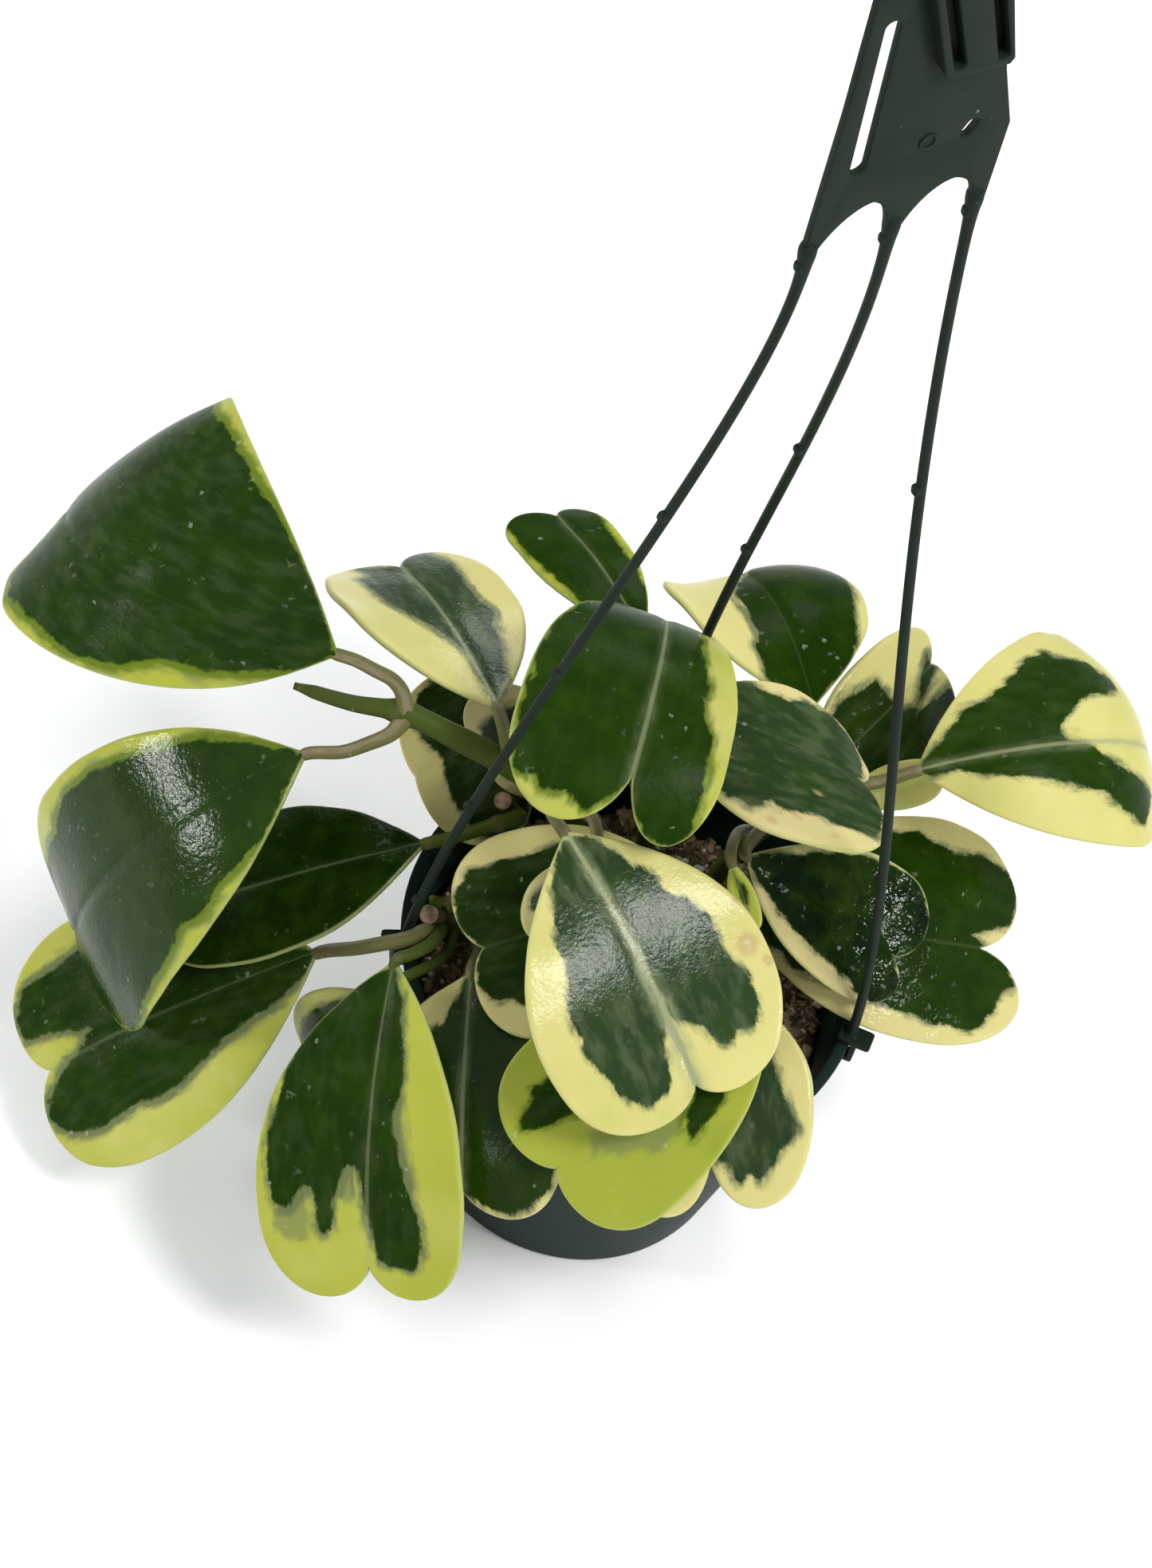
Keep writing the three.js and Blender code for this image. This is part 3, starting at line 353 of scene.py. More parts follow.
def grid_faces(rows, columns, wrap=False):
    """The two triangles of every cell in a grid of points. A wrapped grid closes on itself."""
    across = columns if wrap else columns - 1
    i, j = np.meshgrid(np.arange(rows - 1), np.arange(across), indexing="ij")
    a = (i * columns + j).ravel()
    b = (i * columns + (j + 1) % columns).ravel()
    return np.concatenate([np.stack([a, b, b + columns], 1), np.stack([a, b + columns, a + columns], 1)])


def grid_shell(points, flip=False):
    """A grid of points as a shell with an empty run layer, its faces turned round where asked."""
    faces = grid_faces(*points.shape[:2])
    flat = points.reshape(-1, 3)
    return flat, faces[:, ::-1] if flip else faces, {"run": np.zeros_like(flat)}


def turned(section, turns):
    """A section of radii and heights turned about the upright axis, as a grid of points."""
    radius, height = np.array(section, float).T[..., None]
    return np.stack(np.broadcast_arrays(radius * np.cos(turns), radius * np.sin(turns), height), -1)


def weld(points, faces, layers):
    """Joins the points that fall together and drops the faces that this leaves without area."""
    keys = np.round(points * WELD_STEPS).astype(np.int64)
    _, first, inverse = np.unique(keys, axis=0, return_index=True, return_inverse=True)
    faces = inverse.reshape(-1)[faces]
    whole = (faces[:, 0] != faces[:, 1]) & (faces[:, 1] != faces[:, 2]) & (faces[:, 2] != faces[:, 0])
    return points[first], faces[whole], {name: values[first] for name, values in layers.items()}


def joined(shells):
    """Several shells as one: their points in a row, their faces renumbered, their layers in a row."""
    starts = np.cumsum([0] + [len(shell[0]) for shell in shells])
    points = np.concatenate([shell[0] for shell in shells])
    faces = np.concatenate([shell[1] + start for shell, start in zip(shells, starts)])
    layers = {name: np.concatenate([shell[2][name] for shell in shells]) for name in shells[0][2]}
    return points, faces, layers


def outward(shell):
    """Turns a closed shell's faces round where its volume, a sum of tetrahedra, comes out negative."""
    points, faces, layers = shell
    a, b, c = points[faces[:, 0]], points[faces[:, 1]], points[faces[:, 2]]
    volume = np.einsum("ij,ij->i", a, np.cross(b, c)).sum()
    return points, (faces if volume > 0 else faces[:, ::-1]), layers


def make_piece(name, shell, material, replaces=()):
    """Puts a shell of millimetre points into a smooth-shaded object that rides on the plant."""
    points, faces, layers = shell
    mesh = bpy.data.meshes.new(name)
    mesh.from_pydata((points * MILLIMETRE).tolist(), [], faces.tolist())
    mesh.polygons.foreach_set("use_smooth", np.ones(len(mesh.polygons), bool))
    for layer, values in layers.items():
        attribute = mesh.attributes.new(layer, "FLOAT_VECTOR", "POINT")
        attribute.data.foreach_set("vector", np.asarray(values, np.float32).ravel())
    mesh.materials.append(material)
    mesh.update()
    piece = bpy.data.objects.new(name, mesh)
    bpy.context.scene.collection.objects.link(piece)
    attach(piece, "root")
    if replaces:
        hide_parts(*replaces)
    return piece


def spline(points, steps):
    """A smooth curve through points: cubic pieces whose speed follows the root of their spacing."""
    points = np.asarray(points, float)
    ends = np.vstack([2 * points[0] - points[1], points, 2 * points[-1] - points[-2]])
    gap = np.sqrt(np.maximum(np.linalg.norm(np.diff(ends, axis=0), axis=1), 1e-4))[:, None]
    p0, p1, p2, p3 = ends[:-3], ends[1:-2], ends[2:-1], ends[3:]
    d0, d1, d2 = gap[:-2], gap[1:-1], gap[2:]
    start = ((p1 - p0) / d0 - (p2 - p0) / (d0 + d1) + (p2 - p1) / d1) * d1
    end = ((p2 - p1) / d1 - (p3 - p1) / (d1 + d2) + (p3 - p2) / d2) * d1
    t = (np.arange(steps) / steps)[None, :, None]
    third = 2 * p1 - 2 * p2 + start + end
    second = -3 * p1 + 3 * p2 - 2 * start - end
    curve = p1[:, None] + start[:, None] * t + second[:, None] * t ** 2 + third[:, None] * t ** 3
    return np.vstack([curve.reshape(-1, 3), points[-1]])


def distances(path):
    """How far along a path each of its points lies."""
    return np.r_[0, np.cumsum(np.linalg.norm(np.diff(path, axis=0), axis=1))]


def resample(path, count):
    """The same path with its points evenly spaced, and their distances from its start."""
    along = distances(path)
    even = np.linspace(0, along[-1], count)
    return np.stack([np.interp(even, along, path[:, k]) for k in range(3)], 1), even


def tube(path, radius, sides, first=None, blunt=(False, False), groove=0, rings=0):
    """Circles carried along a path without twist. Each end is a half sphere, or flat where blunt,
    and a groove draws in the side of the first normal. Its run layer holds the distance along, the
    cosine of the angle round from that normal, and 1 on a cut, or less on the corky rings."""
    tangent = unit(np.gradient(path, axis=0))
    run = distances(path)
    bend = np.array([1, 0.8, 0.45, 0])
    cap = len(bend)
    flat, ball = (np.array([0, 0.5, 0.88, 1]), np.array([0, 0, 0, -0.06])), (np.sqrt(1 - bend ** 2), bend)
    (head_r, head_s), (tail_r, tail_s) = [flat if cut_off else ball for cut_off in blunt]
    head = path[0] - tangent[0] * (radius[0] * head_s)[:, None]
    tail = path[-1] + tangent[-1] * (radius[-1] * tail_s)[:, None]
    centre = np.vstack([head, path[1:-1], tail[::-1]])
    spread = np.r_[radius[0] * head_r, radius[1:-1], radius[-1] * tail_r[::-1]]
    directions = np.vstack([np.repeat(tangent[:1], cap, 0), tangent[1:-1], np.repeat(tangent[-1:], cap, 0)])
    distance = np.r_[np.full(cap, run[0]), run[1:-1], np.full(cap, run[-1])]
    cut = np.zeros(len(centre))
    cut[cap:-cap] = (np.zeros(len(path)) + rings)[1:-1]
    cut[:cap - 1], cut[1 - cap:] = blunt
    normals = np.empty_like(centre)
    normal = np.cross(directions[0], (0.3, 0.9, 0.2)) if first is None else np.asarray(first, float)
    for k, direction in enumerate(directions):
        normal = unit(normal - direction * (normal @ direction))
        normals[k] = normal
    binormals = np.cross(directions, normals)
    angle = np.arange(sides) / sides * 2 * math.pi
    ring = np.cos(angle)[:, None] * normals[:, None] + np.sin(angle)[:, None] * binormals[:, None]
    from_top = np.angle(np.exp(1j * angle))
    drawn = 1 - groove * np.exp(-(from_top / GROOVE_REACH) ** 2)
    points = centre[:, None] + spread[:, None, None] * ring * drawn[None, :, None]
    layer = np.stack(np.broadcast_arrays(distance[:, None], np.cos(angle)[None], cut[:, None]), -1)
    faces = grid_faces(len(centre), sides, wrap=True)
    return outward(weld(points.reshape(-1, 3), faces, {"run": layer.reshape(-1, 3)}))


def rounded_block(centre, axes, half, sharpness=0.22):
    """A block with soft edges: a sphere whose sines and cosines are raised to a small power."""
    u = np.linspace(-math.pi / 2, math.pi / 2, 17)[:, None]
    v = np.linspace(-math.pi, math.pi, 33)
    ball = np.stack(np.broadcast_arrays(np.cos(u) * np.cos(v), np.cos(u) * np.sin(v), np.sin(u)), -1)
    ball[np.abs(ball) < 1e-9] = 0
    local = np.sign(ball) * np.abs(ball) ** sharpness * half
    return outward(weld(*grid_shell(np.asarray(centre, float) + local @ np.asarray(axes, float))))


def arc(bend, length):
    """Distance forward and rise after an arc of a length whose direction turns by bend a millimetre."""
    bend = np.where(np.abs(bend) < 1e-6, 1e-6, bend)
    return np.sin(bend * length) / bend, (1 - np.cos(bend * length)) / bend


def heart_edge(leaf, length, s):
    """Half of the heart from stalk to cleft, two cubic curves that meet at the widest point."""
    half = leaf["width"] / 2
    top = length + leaf["lobe"]
    belly = leaf["belly"] * top
    lower = np.array([[0, 0], [0.55 * half, 0.165 * top], [half, 0.34 * top], [half, belly]])
    upper = np.array([[half, belly], [half, 1.02 * top],
                      [0.22 * half, top + 0.55 * leaf["lobe"]], [0, length]])
    t = np.where(s <= 0.5, 2 * s, 2 * s - 1)
    weights = np.stack([(1 - t) ** 3, 3 * (1 - t) ** 2 * t, 3 * (1 - t) * t * t, t ** 3], -1)
    return np.where(s[:, None] <= 0.5, weights @ lower, weights @ upper)


def blade_frame(leaf):
    """The blade's start, its axes along the rib, out of its face and to its right, and its length."""
    start = np.array(leaf["at"], float)
    chord = np.array(leaf["notch"], float) - start
    along = unit(chord)
    face = unit(VIEW - along * (VIEW @ along))
    roll = leaf["roll"] * DEGREE
    face = face * math.cos(roll) + np.cross(along, face) * math.sin(roll)
    half = leaf["droop"] / 2 * DEGREE
    rib = along * math.cos(half) + face * math.sin(half)
    out = face * math.cos(half) - along * math.sin(half)
    length = np.linalg.norm(chord) * half / math.sin(half)
    return start, rib, out, np.cross(rib, out), length


def blade_place(leaf, axes, x, y):
    """A point of the bent blade, x to the right of the rib and y along it. The rib bends down on an
    arc, the halves turn about it by the twist, and each half curls on an arc of its own."""
    start, rib, out, right, length = axes
    bend = leaf["droop"] * DEGREE / length
    forward, drop = arc(bend, y)
    turn = (bend * y)[..., None]
    centre = start + rib * forward[..., None] - out * drop[..., None]
    face = rib * np.sin(turn) + out * np.cos(turn)
    twist = (leaf["twist"] * DEGREE / length * y)[..., None]
    side = right * np.cos(twist) + face * np.sin(twist)
    up = face * np.cos(twist) - right * np.sin(twist)
    cup = np.where(x < 0, leaf["cup"][0], leaf["cup"][1]) * DEGREE
    across, rise = arc(2 * cup / leaf["width"], np.abs(x))
    return centre + side * (np.sign(x) * across)[..., None] + up * rise[..., None]


def blade_normal(leaf, axes, x, y):
    """The blade's upward normal: the cross product of its two slopes."""
    step = 0.4
    across = blade_place(leaf, axes, x + step, y) - blade_place(leaf, axes, x - step, y)
    along = blade_place(leaf, axes, x, y + step) - blade_place(leaf, axes, x, y - step)
    return unit(np.cross(across, along))


def margin_distance(flat, outline):
    """The distance of each flat point from the nearest point of the outline."""
    gaps = flat[:, None] - outline[None]
    return np.sqrt((gaps ** 2).sum(-1).min(1))


def inside_distance(outline, x, y):
    """How far flat points lie inside a closed outline, less than 0 outside: the distance from its
    nearest side, with the sign from a count of the sides that lie to the right."""
    start = np.asarray(outline, float)
    side = np.roll(start, -1, 0) - start
    offset = np.stack([x, y], -1)[..., None, :] - start
    along = np.clip((offset * side).sum(-1) / (side ** 2).sum(-1), 0, 1)
    distance = np.linalg.norm(offset - along[..., None] * side, axis=-1).min(-1)
    up, rise = offset[..., 1], np.where(side[:, 1] == 0, 1e-9, side[:, 1])
    crossed = ((up < 0) != (up < side[:, 1])) & (offset[..., 0] < up * side[:, 0] / rise)
    return np.where(crossed.sum(-1) % 2, distance, -distance)


def patch_fields(leaf, x, y, t, row):
    """How far inside the green patch a point is, and how far inside the greyed zone around it."""
    if "share" in leaf:
        patch = (leaf["share"] - t) * row
    else:
        patch = np.max([inside_distance(outline, x, y) for outline in leaf["patch"]], 0)
    pale = [inside_distance(outline, x, y) for outline in leaf.get("pale", ())]
    return patch, np.max([patch + leaf["halo"], *pale], 0)


def leaf_waves(x, y, margin, seed, amount):
    """Low waves of the blade, a sum of sines, with a finer ripple that grows towards the margin."""
    broad = np.sin(0.11 * x + seed) * np.cos(0.09 * y + 2.1 * seed)
    ripple = np.sin(0.33 * y + 0.2 * x + 3.7 * seed) * np.exp(-margin / 6)
    return amount * (broad + 0.6 * ripple)


def leaf_blade(leaf, seed, thickness, edge, waves):
    """The blade: two faces a thickness apart that round off towards the outline, in rows that run
    from the rib out into the lobes and crowd at its margin. The rib is sunk in the upper face and
    stands proud below."""
    axes = blade_frame(leaf)
    length = axes[4]
    rows, half = LEAF_GRID if leaf["width"] > SMALL_LEAF_WIDTH else SMALL_LEAF_GRID
    s = np.linspace(0, 1, rows + 1)
    outline = heart_edge(leaf, length, s)
    rib_y = length * s ** 1.15
    q = np.linspace(-1, 1, 2 * half + 1)
    t = 1 - (1 - np.abs(q)) ** 1.6
    side = np.sign(q)
    x = outline[:, :1] * (t * side * (1 + side * leaf["skew"]))[None]
    y = rib_y[:, None] + (outline[:, 1:] - rib_y[:, None]) * t[None]
    row = np.hypot(outline[:, 0], outline[:, 1] - rib_y)[:, None] * np.ones_like(q)[None]
    dense = heart_edge(leaf, length, np.linspace(0, 1, 420))
    ends = [dense * (side * (1 + side * leaf["skew"]), 1) for side in (-1, 1)]
    margin = margin_distance(np.stack([x.ravel(), y.ravel()], 1), np.concatenate(ends)).reshape(x.shape)
    margin[:, [0, -1]] = 0
    thick = thickness / 2 * np.sqrt(1 - (1 - np.clip(margin / edge, 0, 1)) ** 2)
    normal = blade_normal(leaf, axes, x, y)
    place = blade_place(leaf, axes, x, y)
    place = place + normal * leaf_waves(x, y, margin, seed, waves)[..., None]
    groove, keel = (depth * np.exp(-(x / reach) ** 2) * smooth(0, RIB_FADE, margin)
                    for depth, reach in (RIB_GROOVE, RIB_KEEL))
    patch, zone = patch_fields(leaf, x, y, t[None], row)
    ones = np.ones_like(x)
    faces = grid_faces(rows + 1, 2 * half + 1)
    shells = []
    for under, shift in ((0, thick - groove), (1, -thick - keel)):
        layers = {"blade": (x, y, margin), "pattern": (patch, zone, leaf["rib"] * ones),
                  "tone": [leaf[key] * ones for key in ("cream", "blue", "dark")],
                  "marks": (leaf_spots(leaf, x, y), under * ones, seed * ones)}
        points = place + normal * shift[..., None]
        shells.append((points.reshape(-1, 3), faces[:, ::-1] if under else faces,
                       {name: np.stack(values, -1).reshape(-1, 3) for name, values in layers.items()}))
    return outward(weld(*joined(shells)))


def leaf_spots(leaf, x, y):
    """1 at the middle of each brown spot, falling to 0 at its edge."""
    spots = np.zeros_like(x)
    for spot_x, spot_y, radius in leaf.get("spots", ()):
        spots = np.maximum(spots, 1 - np.hypot(x - spot_x, y - spot_y) / radius)
    return np.maximum(spots, 0)


def petiole_tube(leaf):
    """The leaf stalk: thicker where it leaves the stem, grooved on top, ending inside the blade."""
    axes = blade_frame(leaf)
    spot = np.array([0.0]), np.array([4.0])
    inner = blade_place(leaf, axes, *spot)[0] - 0.9 * blade_normal(leaf, axes, *spot)[0]
    path, along = resample(spline([*leaf["petiole"], leaf["at"], inner], 10), STALK_STEPS)
    end = along[-1]
    sizes = leaf.get("stalk", min(1.6, 0.9 + leaf["width"] / 50)) * (1.15 - 0.2 * along / end)
    sizes = sizes * (1 + 0.3 * np.exp(-along / 3)) * (1 - 0.55 * smooth(end - 4, end, along))
    rings = 0.6 * np.exp(-((along - end + 4.6) / 0.5) ** 2)
    if "knot" in leaf:
        knot = np.exp(-((along - leaf["knot"]) / 1.2) ** 2)
        sizes, rings = sizes + 0.35 * knot, rings + 0.7 * knot
    return tube(path, sizes, STEM_SIDES, first=axes[2], groove=STALK_GROOVE, rings=rings)


def pot_shell():
    """The pot: its wall's section turned about the axis, and a floor in six sectors, each a fan of
    points from its round drain hole out to the sector's outline."""
    inner = BASE_RADIUS - WALL - 2
    turns = np.arange(POT_SIDES + 1) * 2 * math.pi / POT_SIDES - math.pi / DRAIN_HOLES
    lip = RIM_RADIUS - 1.2
    rim_foot = POT_HEIGHT - RIM_DEPTH
    section = [
        (inner, 0), (BASE_RADIUS - 2, 0), (BASE_RADIUS - 1.2, 0.25), (BASE_RADIUS - 0.3, 1),
        (BASE_RADIUS, 2), (BASE_RADIUS + 3, 19), (BASE_RADIUS + 7, 43), (BASE_RADIUS + 11, 66),
        (WALL_TOP_RADIUS, rim_foot), (WALL_TOP_RADIUS + 0.3, rim_foot), (lip - 0.3, rim_foot),
        (lip, rim_foot + 0.3), (RIM_RADIUS - 0.1, POT_HEIGHT - 1.3), (RIM_RADIUS, POT_HEIGHT - 0.8),
        (RIM_RADIUS - 0.15, POT_HEIGHT - 0.25), (RIM_RADIUS - 0.6, POT_HEIGHT),
        (RIM_RADIUS - RIM_WIDTH + 0.6, POT_HEIGHT), (RIM_RADIUS - RIM_WIDTH + 0.15, POT_HEIGHT - 0.2),
        (RIM_RADIUS - RIM_WIDTH, POT_HEIGHT - 0.7), (WALL_TOP_RADIUS - WALL, rim_foot),
        (WALL_TOP_RADIUS - WALL - 4, 60), (BASE_RADIUS - WALL, 2 * WALL),
        (BASE_RADIUS - WALL - 0.6, 2 * WALL - 1.1), (inner, WALL)]
    floors = ((0, True), (WALL, False))
    shells = [grid_shell(turned(section, turns), True)]
    for height, flip in floors:
        disc = [(radius, height) for radius in np.linspace(0, FLOOR_DISC, 5)]
        shells.append(grid_shell(turned(disc, turns), flip))
    for middle in np.arange(DRAIN_HOLES) * 2 * math.pi / DRAIN_HOLES:
        hole, fan = sector_fan(middle, FLOOR_DISC, inner)
        for height, flip in floors:
            shells.append(grid_shell(np.dstack([fan, np.full(fan.shape[:2], height)]), flip))
        sides = [np.column_stack([hole, np.full(len(hole), z)]) for z in (0, WALL)]
        shells.append(grid_shell(np.stack(sides)))
    return weld(*joined(shells))


def sector_fan(middle, low, high):
    """A drain hole's circle, and rings of points that run from it out to its sector's outline."""
    half = math.pi / DRAIN_HOLES
    turn = np.linspace(-half, half, 17)
    radius = np.linspace(low, high, 9)[1:-1]
    polar = np.concatenate([
        np.stack([np.full(17, low), turn], 1), np.stack([radius, np.full(7, half)], 1),
        np.stack([np.full(17, high), -turn], 1), np.stack([radius[::-1], np.full(7, -half)], 1)])
    loop = polar[:, :1] * np.stack([np.cos(polar[:, 1]), np.sin(polar[:, 1])], 1)
    loop = np.vstack([loop, loop[:1]])
    centre = np.array([DRAIN_CIRCLE, 0])
    hole = centre + DRAIN_RADIUS * unit(loop - centre)
    share = np.linspace(0, 1, 5)[:, None, None]
    about = np.array([[math.cos(middle), math.sin(middle)], [-math.sin(middle), math.cos(middle)]])
    return hole @ about, (hole * (1 - share) + loop * share) @ about


def soil_height(x, y):
    """The soil's top: low chips as a sum of sines, and a fine crumble on them."""
    relief = np.sin(0.47 * x + 1.3) * np.cos(0.39 * y) + 0.6 * np.sin(0.9 * x - 0.7 * y)
    crumble = np.sin(2.3 * x + 0.7 * y) * np.sin(2.1 * y - 1.1 * x)
    crumble = crumble + 0.6 * np.sin(3.7 * x) * np.cos(4.1 * y)
    return SOIL_TOP + SOIL_RELIEF * relief + CRUMBLE * crumble


def soil_shell():
    """The soil: a rough disc on a cone that fits inside the pot's wall."""
    turns = np.linspace(0, 2 * math.pi, 181)
    inner = BASE_RADIUS - WALL
    slope = (WALL_TOP_RADIUS - WALL - inner) / (POT_HEIGHT - RIM_DEPTH - 2 * WALL)
    edge = inner + slope * (SOIL_TOP - 2 * WALL) - 0.5
    radii = np.linspace(0, edge, 60)
    top = turned([(radius, 0) for radius in radii], turns)
    top[..., 2] = soil_height(top[..., 0], top[..., 1]) - 1.4 * smooth(edge - 3, edge, radii)[:, None]
    floor = 2 * WALL + 0.3
    base = turned([(inner - 0.5, floor), (0, floor)], turns)
    return outward(weld(*grid_shell(np.concatenate([top, base]))))


def scattered(count, seed, low, high, tilt):
    """Places on the soil for small bits, an even spread over its disc, with sizes between low and
    high and turns that tip from flat by a normal draw of the given tilt."""
    draw = np.random.default_rng(seed)
    radius = BITS_RADIUS * np.sqrt(draw.random(count))
    turn = draw.random(count) * 2 * math.pi
    x, y = radius * np.cos(turn), radius * np.sin(turn)
    size = np.array(low) + (np.array(high) - np.array(low)) * draw.random((count, 3)) ** 1.6
    place = np.stack([x, y, soil_height(x, y) + size[:, 2] * 0.25], -1)
    yaw, pitch, lean = draw.random(count) * 2 * math.pi, *draw.normal(0, tilt, (2, count))
    return draw, place, size, turned_axes(yaw, pitch, lean)


def turned_axes(yaw, pitch, lean):
    """A turn for each bit, as the product of turns about the upright axis and the two flat ones."""
    def about(axis, angle):
        """The turn about one axis, with the angle's sine and cosine in the rows of the other two."""
        c, s, o, l = np.cos(angle), np.sin(angle), np.zeros_like(angle), np.ones_like(angle)
        rows = {0: [[l, o, o], [o, c, s], [o, -s, c]], 1: [[c, o, -s], [o, l, o], [s, o, c]],
                2: [[c, s, o], [-s, c, o], [o, o, l]]}[axis]
        return np.moveaxis(np.array(rows), -1, 0)
    return about(0, lean) @ about(1, pitch) @ about(2, yaw)


def bits_shell(count, seed, low, high, tilt, rows, columns, rough):
    """Small rough bits: a sphere of a few rows whose radius is drawn afresh at each point."""
    draw, place, size, axes = scattered(count, seed, low, high, tilt)
    polar = np.linspace(0, math.pi, rows)[:, None]
    turn = np.arange(columns) * 2 * math.pi / columns
    ball = np.stack(np.broadcast_arrays(np.sin(polar) * np.cos(turn), np.sin(polar) * np.sin(turn),
                                        np.cos(polar)), -1).reshape(-1, 3)
    ball = np.sign(ball) * np.abs(ball) ** 0.7
    swell = 1 + rough * draw.normal(0, 1, (count, len(ball), 1))
    swell[:, :columns] = swell[:, :1]
    swell[:, -columns:] = swell[:, -1:]
    local = ball[None] * size[:, None] / 2 * np.clip(swell, 0.4, 1.7)
    points = place[:, None] + np.einsum("nij,njk->nik", local, axes)
    faces = grid_faces(rows, columns, wrap=True)
    whole = faces[None] + (np.arange(count) * len(ball))[:, None, None]
    shade = np.repeat(draw.random((count, 1, 3)), len(ball), 1)
    return weld(points.reshape(-1, 3), whole.reshape(-1, 3)[:, ::-1], {"run": shade.reshape(-1, 3)})


def plate_place(points):
    """Puts points of the plate's own plane, across, up and out of its face, where the plate leans."""
    across, up, out = points.T
    y = -out * math.cos(PLATE_LEAN) + up * math.sin(PLATE_LEAN)
    z = out * math.sin(PLATE_LEAN) + up * math.cos(PLATE_LEAN)
    x = across * math.cos(PLATE_TURN) - y * math.sin(PLATE_TURN)
    y = across * math.sin(PLATE_TURN) + y * math.cos(PLATE_TURN)
    return np.stack([x, y, z + PLATE_BOTTOM], -1)


def bezier(*points):
    """A Bezier curve's points, without its first, by repeated blending of its corners."""
    t = np.linspace(0, 1, 13)[1:, None, None]
    level = np.repeat(np.array(points, float)[None], 12, 0)
    while level.shape[1] > 1:
        level = level[:, :-1] * (1 - t) + level[:, 1:] * t
    return [tuple(point) for point in level[:, 0]]


def circle_arc(x, y, radius, start, end, steps):
    """Points of an arc of a circle, between two angles in degrees."""
    turn = np.linspace(start, end, steps) * DEGREE
    return [(x + radius * math.cos(a), y + radius * math.sin(a)) for a in turn]


def slot_outline(x0, y0, x1, y1, radius):
    """A slot with round ends."""
    lean = math.atan2(y1 - y0, x1 - x0) / DEGREE
    return (circle_arc(x0, y0, radius, lean + 90, lean + 270, 10)
            + circle_arc(x1, y1, radius, lean - 90, lean + 90, 10))


def plate_outline():
    """The plate: sides that draw in upwards, and two arches that part the roots of the strands."""
    points = [(-21.5, 0), (-18.5, 0)]
    points += bezier((-18.5, 0), (-16, 5), (-11, 10), (-6.5, 10))
    points += bezier((-6.5, 10), (-2.2, 8), (-2, 0))
    points += [(2, 0)]
    points += bezier((2, 0), (4.5, 5.5), (9, 9.5), (13, 9.3))
    points += bezier((13, 9.3), (18.6, 7.5), (18.5, 0))
    points += [(22, 0), (24, 21.5), (20, 38), (16, 62), (7, 86), (7, 92), (-7, 92), (-16, 72), (-18, 40)]
    return points


SHANK = [(3, 45.5), (17, 44.5), (18, 46), (14.5, 63), (7, 86), (7, 92), (2.5, 104), (-2.5, 104),
         (-7, 92), (-7, 78), (1.5, 47)]
CHANNELS = [slot_outline(4.5, 49, -3.5, 78, 1.4), slot_outline(15, 48, 10, 68, 1.4)]
PLATE_HOLES = [slot_outline(-12.3, 22.5, -10.9, 61.5, 1.8), slot_outline(13, 22.7, 14.4, 24.8, 1.3)]


def hook_outline():
    """The hook: a bar that runs up from the shank and round to an open mouth at the lower left."""
    inner, bar, centre = 15, 5, 122
    outer, middle = inner + bar, inner + bar / 2
    joint = -math.acos(bar / 2 / outer) / DEGREE
    tip = (middle * math.cos(205 * DEGREE), centre + middle * math.sin(205 * DEGREE))
    points = [(bar / 2, 100)] + circle_arc(0, centre, outer, joint, 205, 48)
    points += circle_arc(*tip, bar / 2, 205, 385, 12)[1:-1]
    points += circle_arc(0, centre, inner, 205, joint - 20, 44)
    return points + [(-bar / 2, centre - outer), (-bar / 2, 100)]


def slab(outlines, low, high, bevel, levels):
    """A flat shape with holes, from low to high out of the plate's face, with rounded edges. It is
    filled as a flat curve and made a mesh before it is put in its place."""
    curve = bpy.data.curves.new("slab", "CURVE")
    curve.dimensions = "2D"
    curve.fill_mode = "BOTH"
    curve.extrude = (high - low) / 2 - bevel
    curve.bevel_depth = bevel
    curve.bevel_resolution = levels
    curve.offset = -bevel
    for outline in outlines:
        line = curve.splines.new("POLY")
        line.points.add(len(outline) - 1)
        for point, (x, y) in zip(line.points, outline):
            point.co = (x, y, 0, 1)
        line.use_cyclic_u = True
    holder = bpy.data.objects.new("slab", curve)
    bpy.context.scene.collection.objects.link(holder)
    mesh = bpy.data.meshes.new_from_object(holder.evaluated_get(bpy.context.evaluated_depsgraph_get()))
    points = np.empty(len(mesh.vertices) * 3)
    mesh.vertices.foreach_get("co", points)
    mesh.calc_loop_triangles()
    faces = np.empty(len(mesh.loop_triangles) * 3, int)
    mesh.loop_triangles.foreach_get("vertices", faces)
    bpy.data.objects.remove(holder)
    bpy.data.curves.remove(curve)
    bpy.data.meshes.remove(mesh)
    points = points.reshape(-1, 3) + (0, 0, (low + high) / 2)
    return outward(weld(plate_place(points), faces.reshape(-1, 3), {"run": points}))


def plate_shell():
    """The hanger's plate, its raised shank with two channels, its hook and its moulding marks."""
    ring = [circle_arc(3.8, 23.9, radius, 0, 345, 24) for radius in (2.2, 1.5)]
    return joined([
        slab([plate_outline(), *PLATE_HOLES], -1, 1, 0.45, 2),
        slab([SHANK], -1, 1.6, 0.3, 1),
        slab([SHANK, *CHANNELS], 0.8, 5, 0.45, 2),
        slab([hook_outline()], -0.5, 4.5, 1.3, 3),
        slab(ring, 0, 1.35, 0.15, 1)])


def clip_axes(strand):
    """The directions out of the rim, along it and up where the strand's clip sits."""
    x, y = math.cos(strand["angle"] * DEGREE), math.sin(strand["angle"] * DEGREE)
    return np.array([(x, y, 0), (-y, x, 0), (0, 0, 1)])


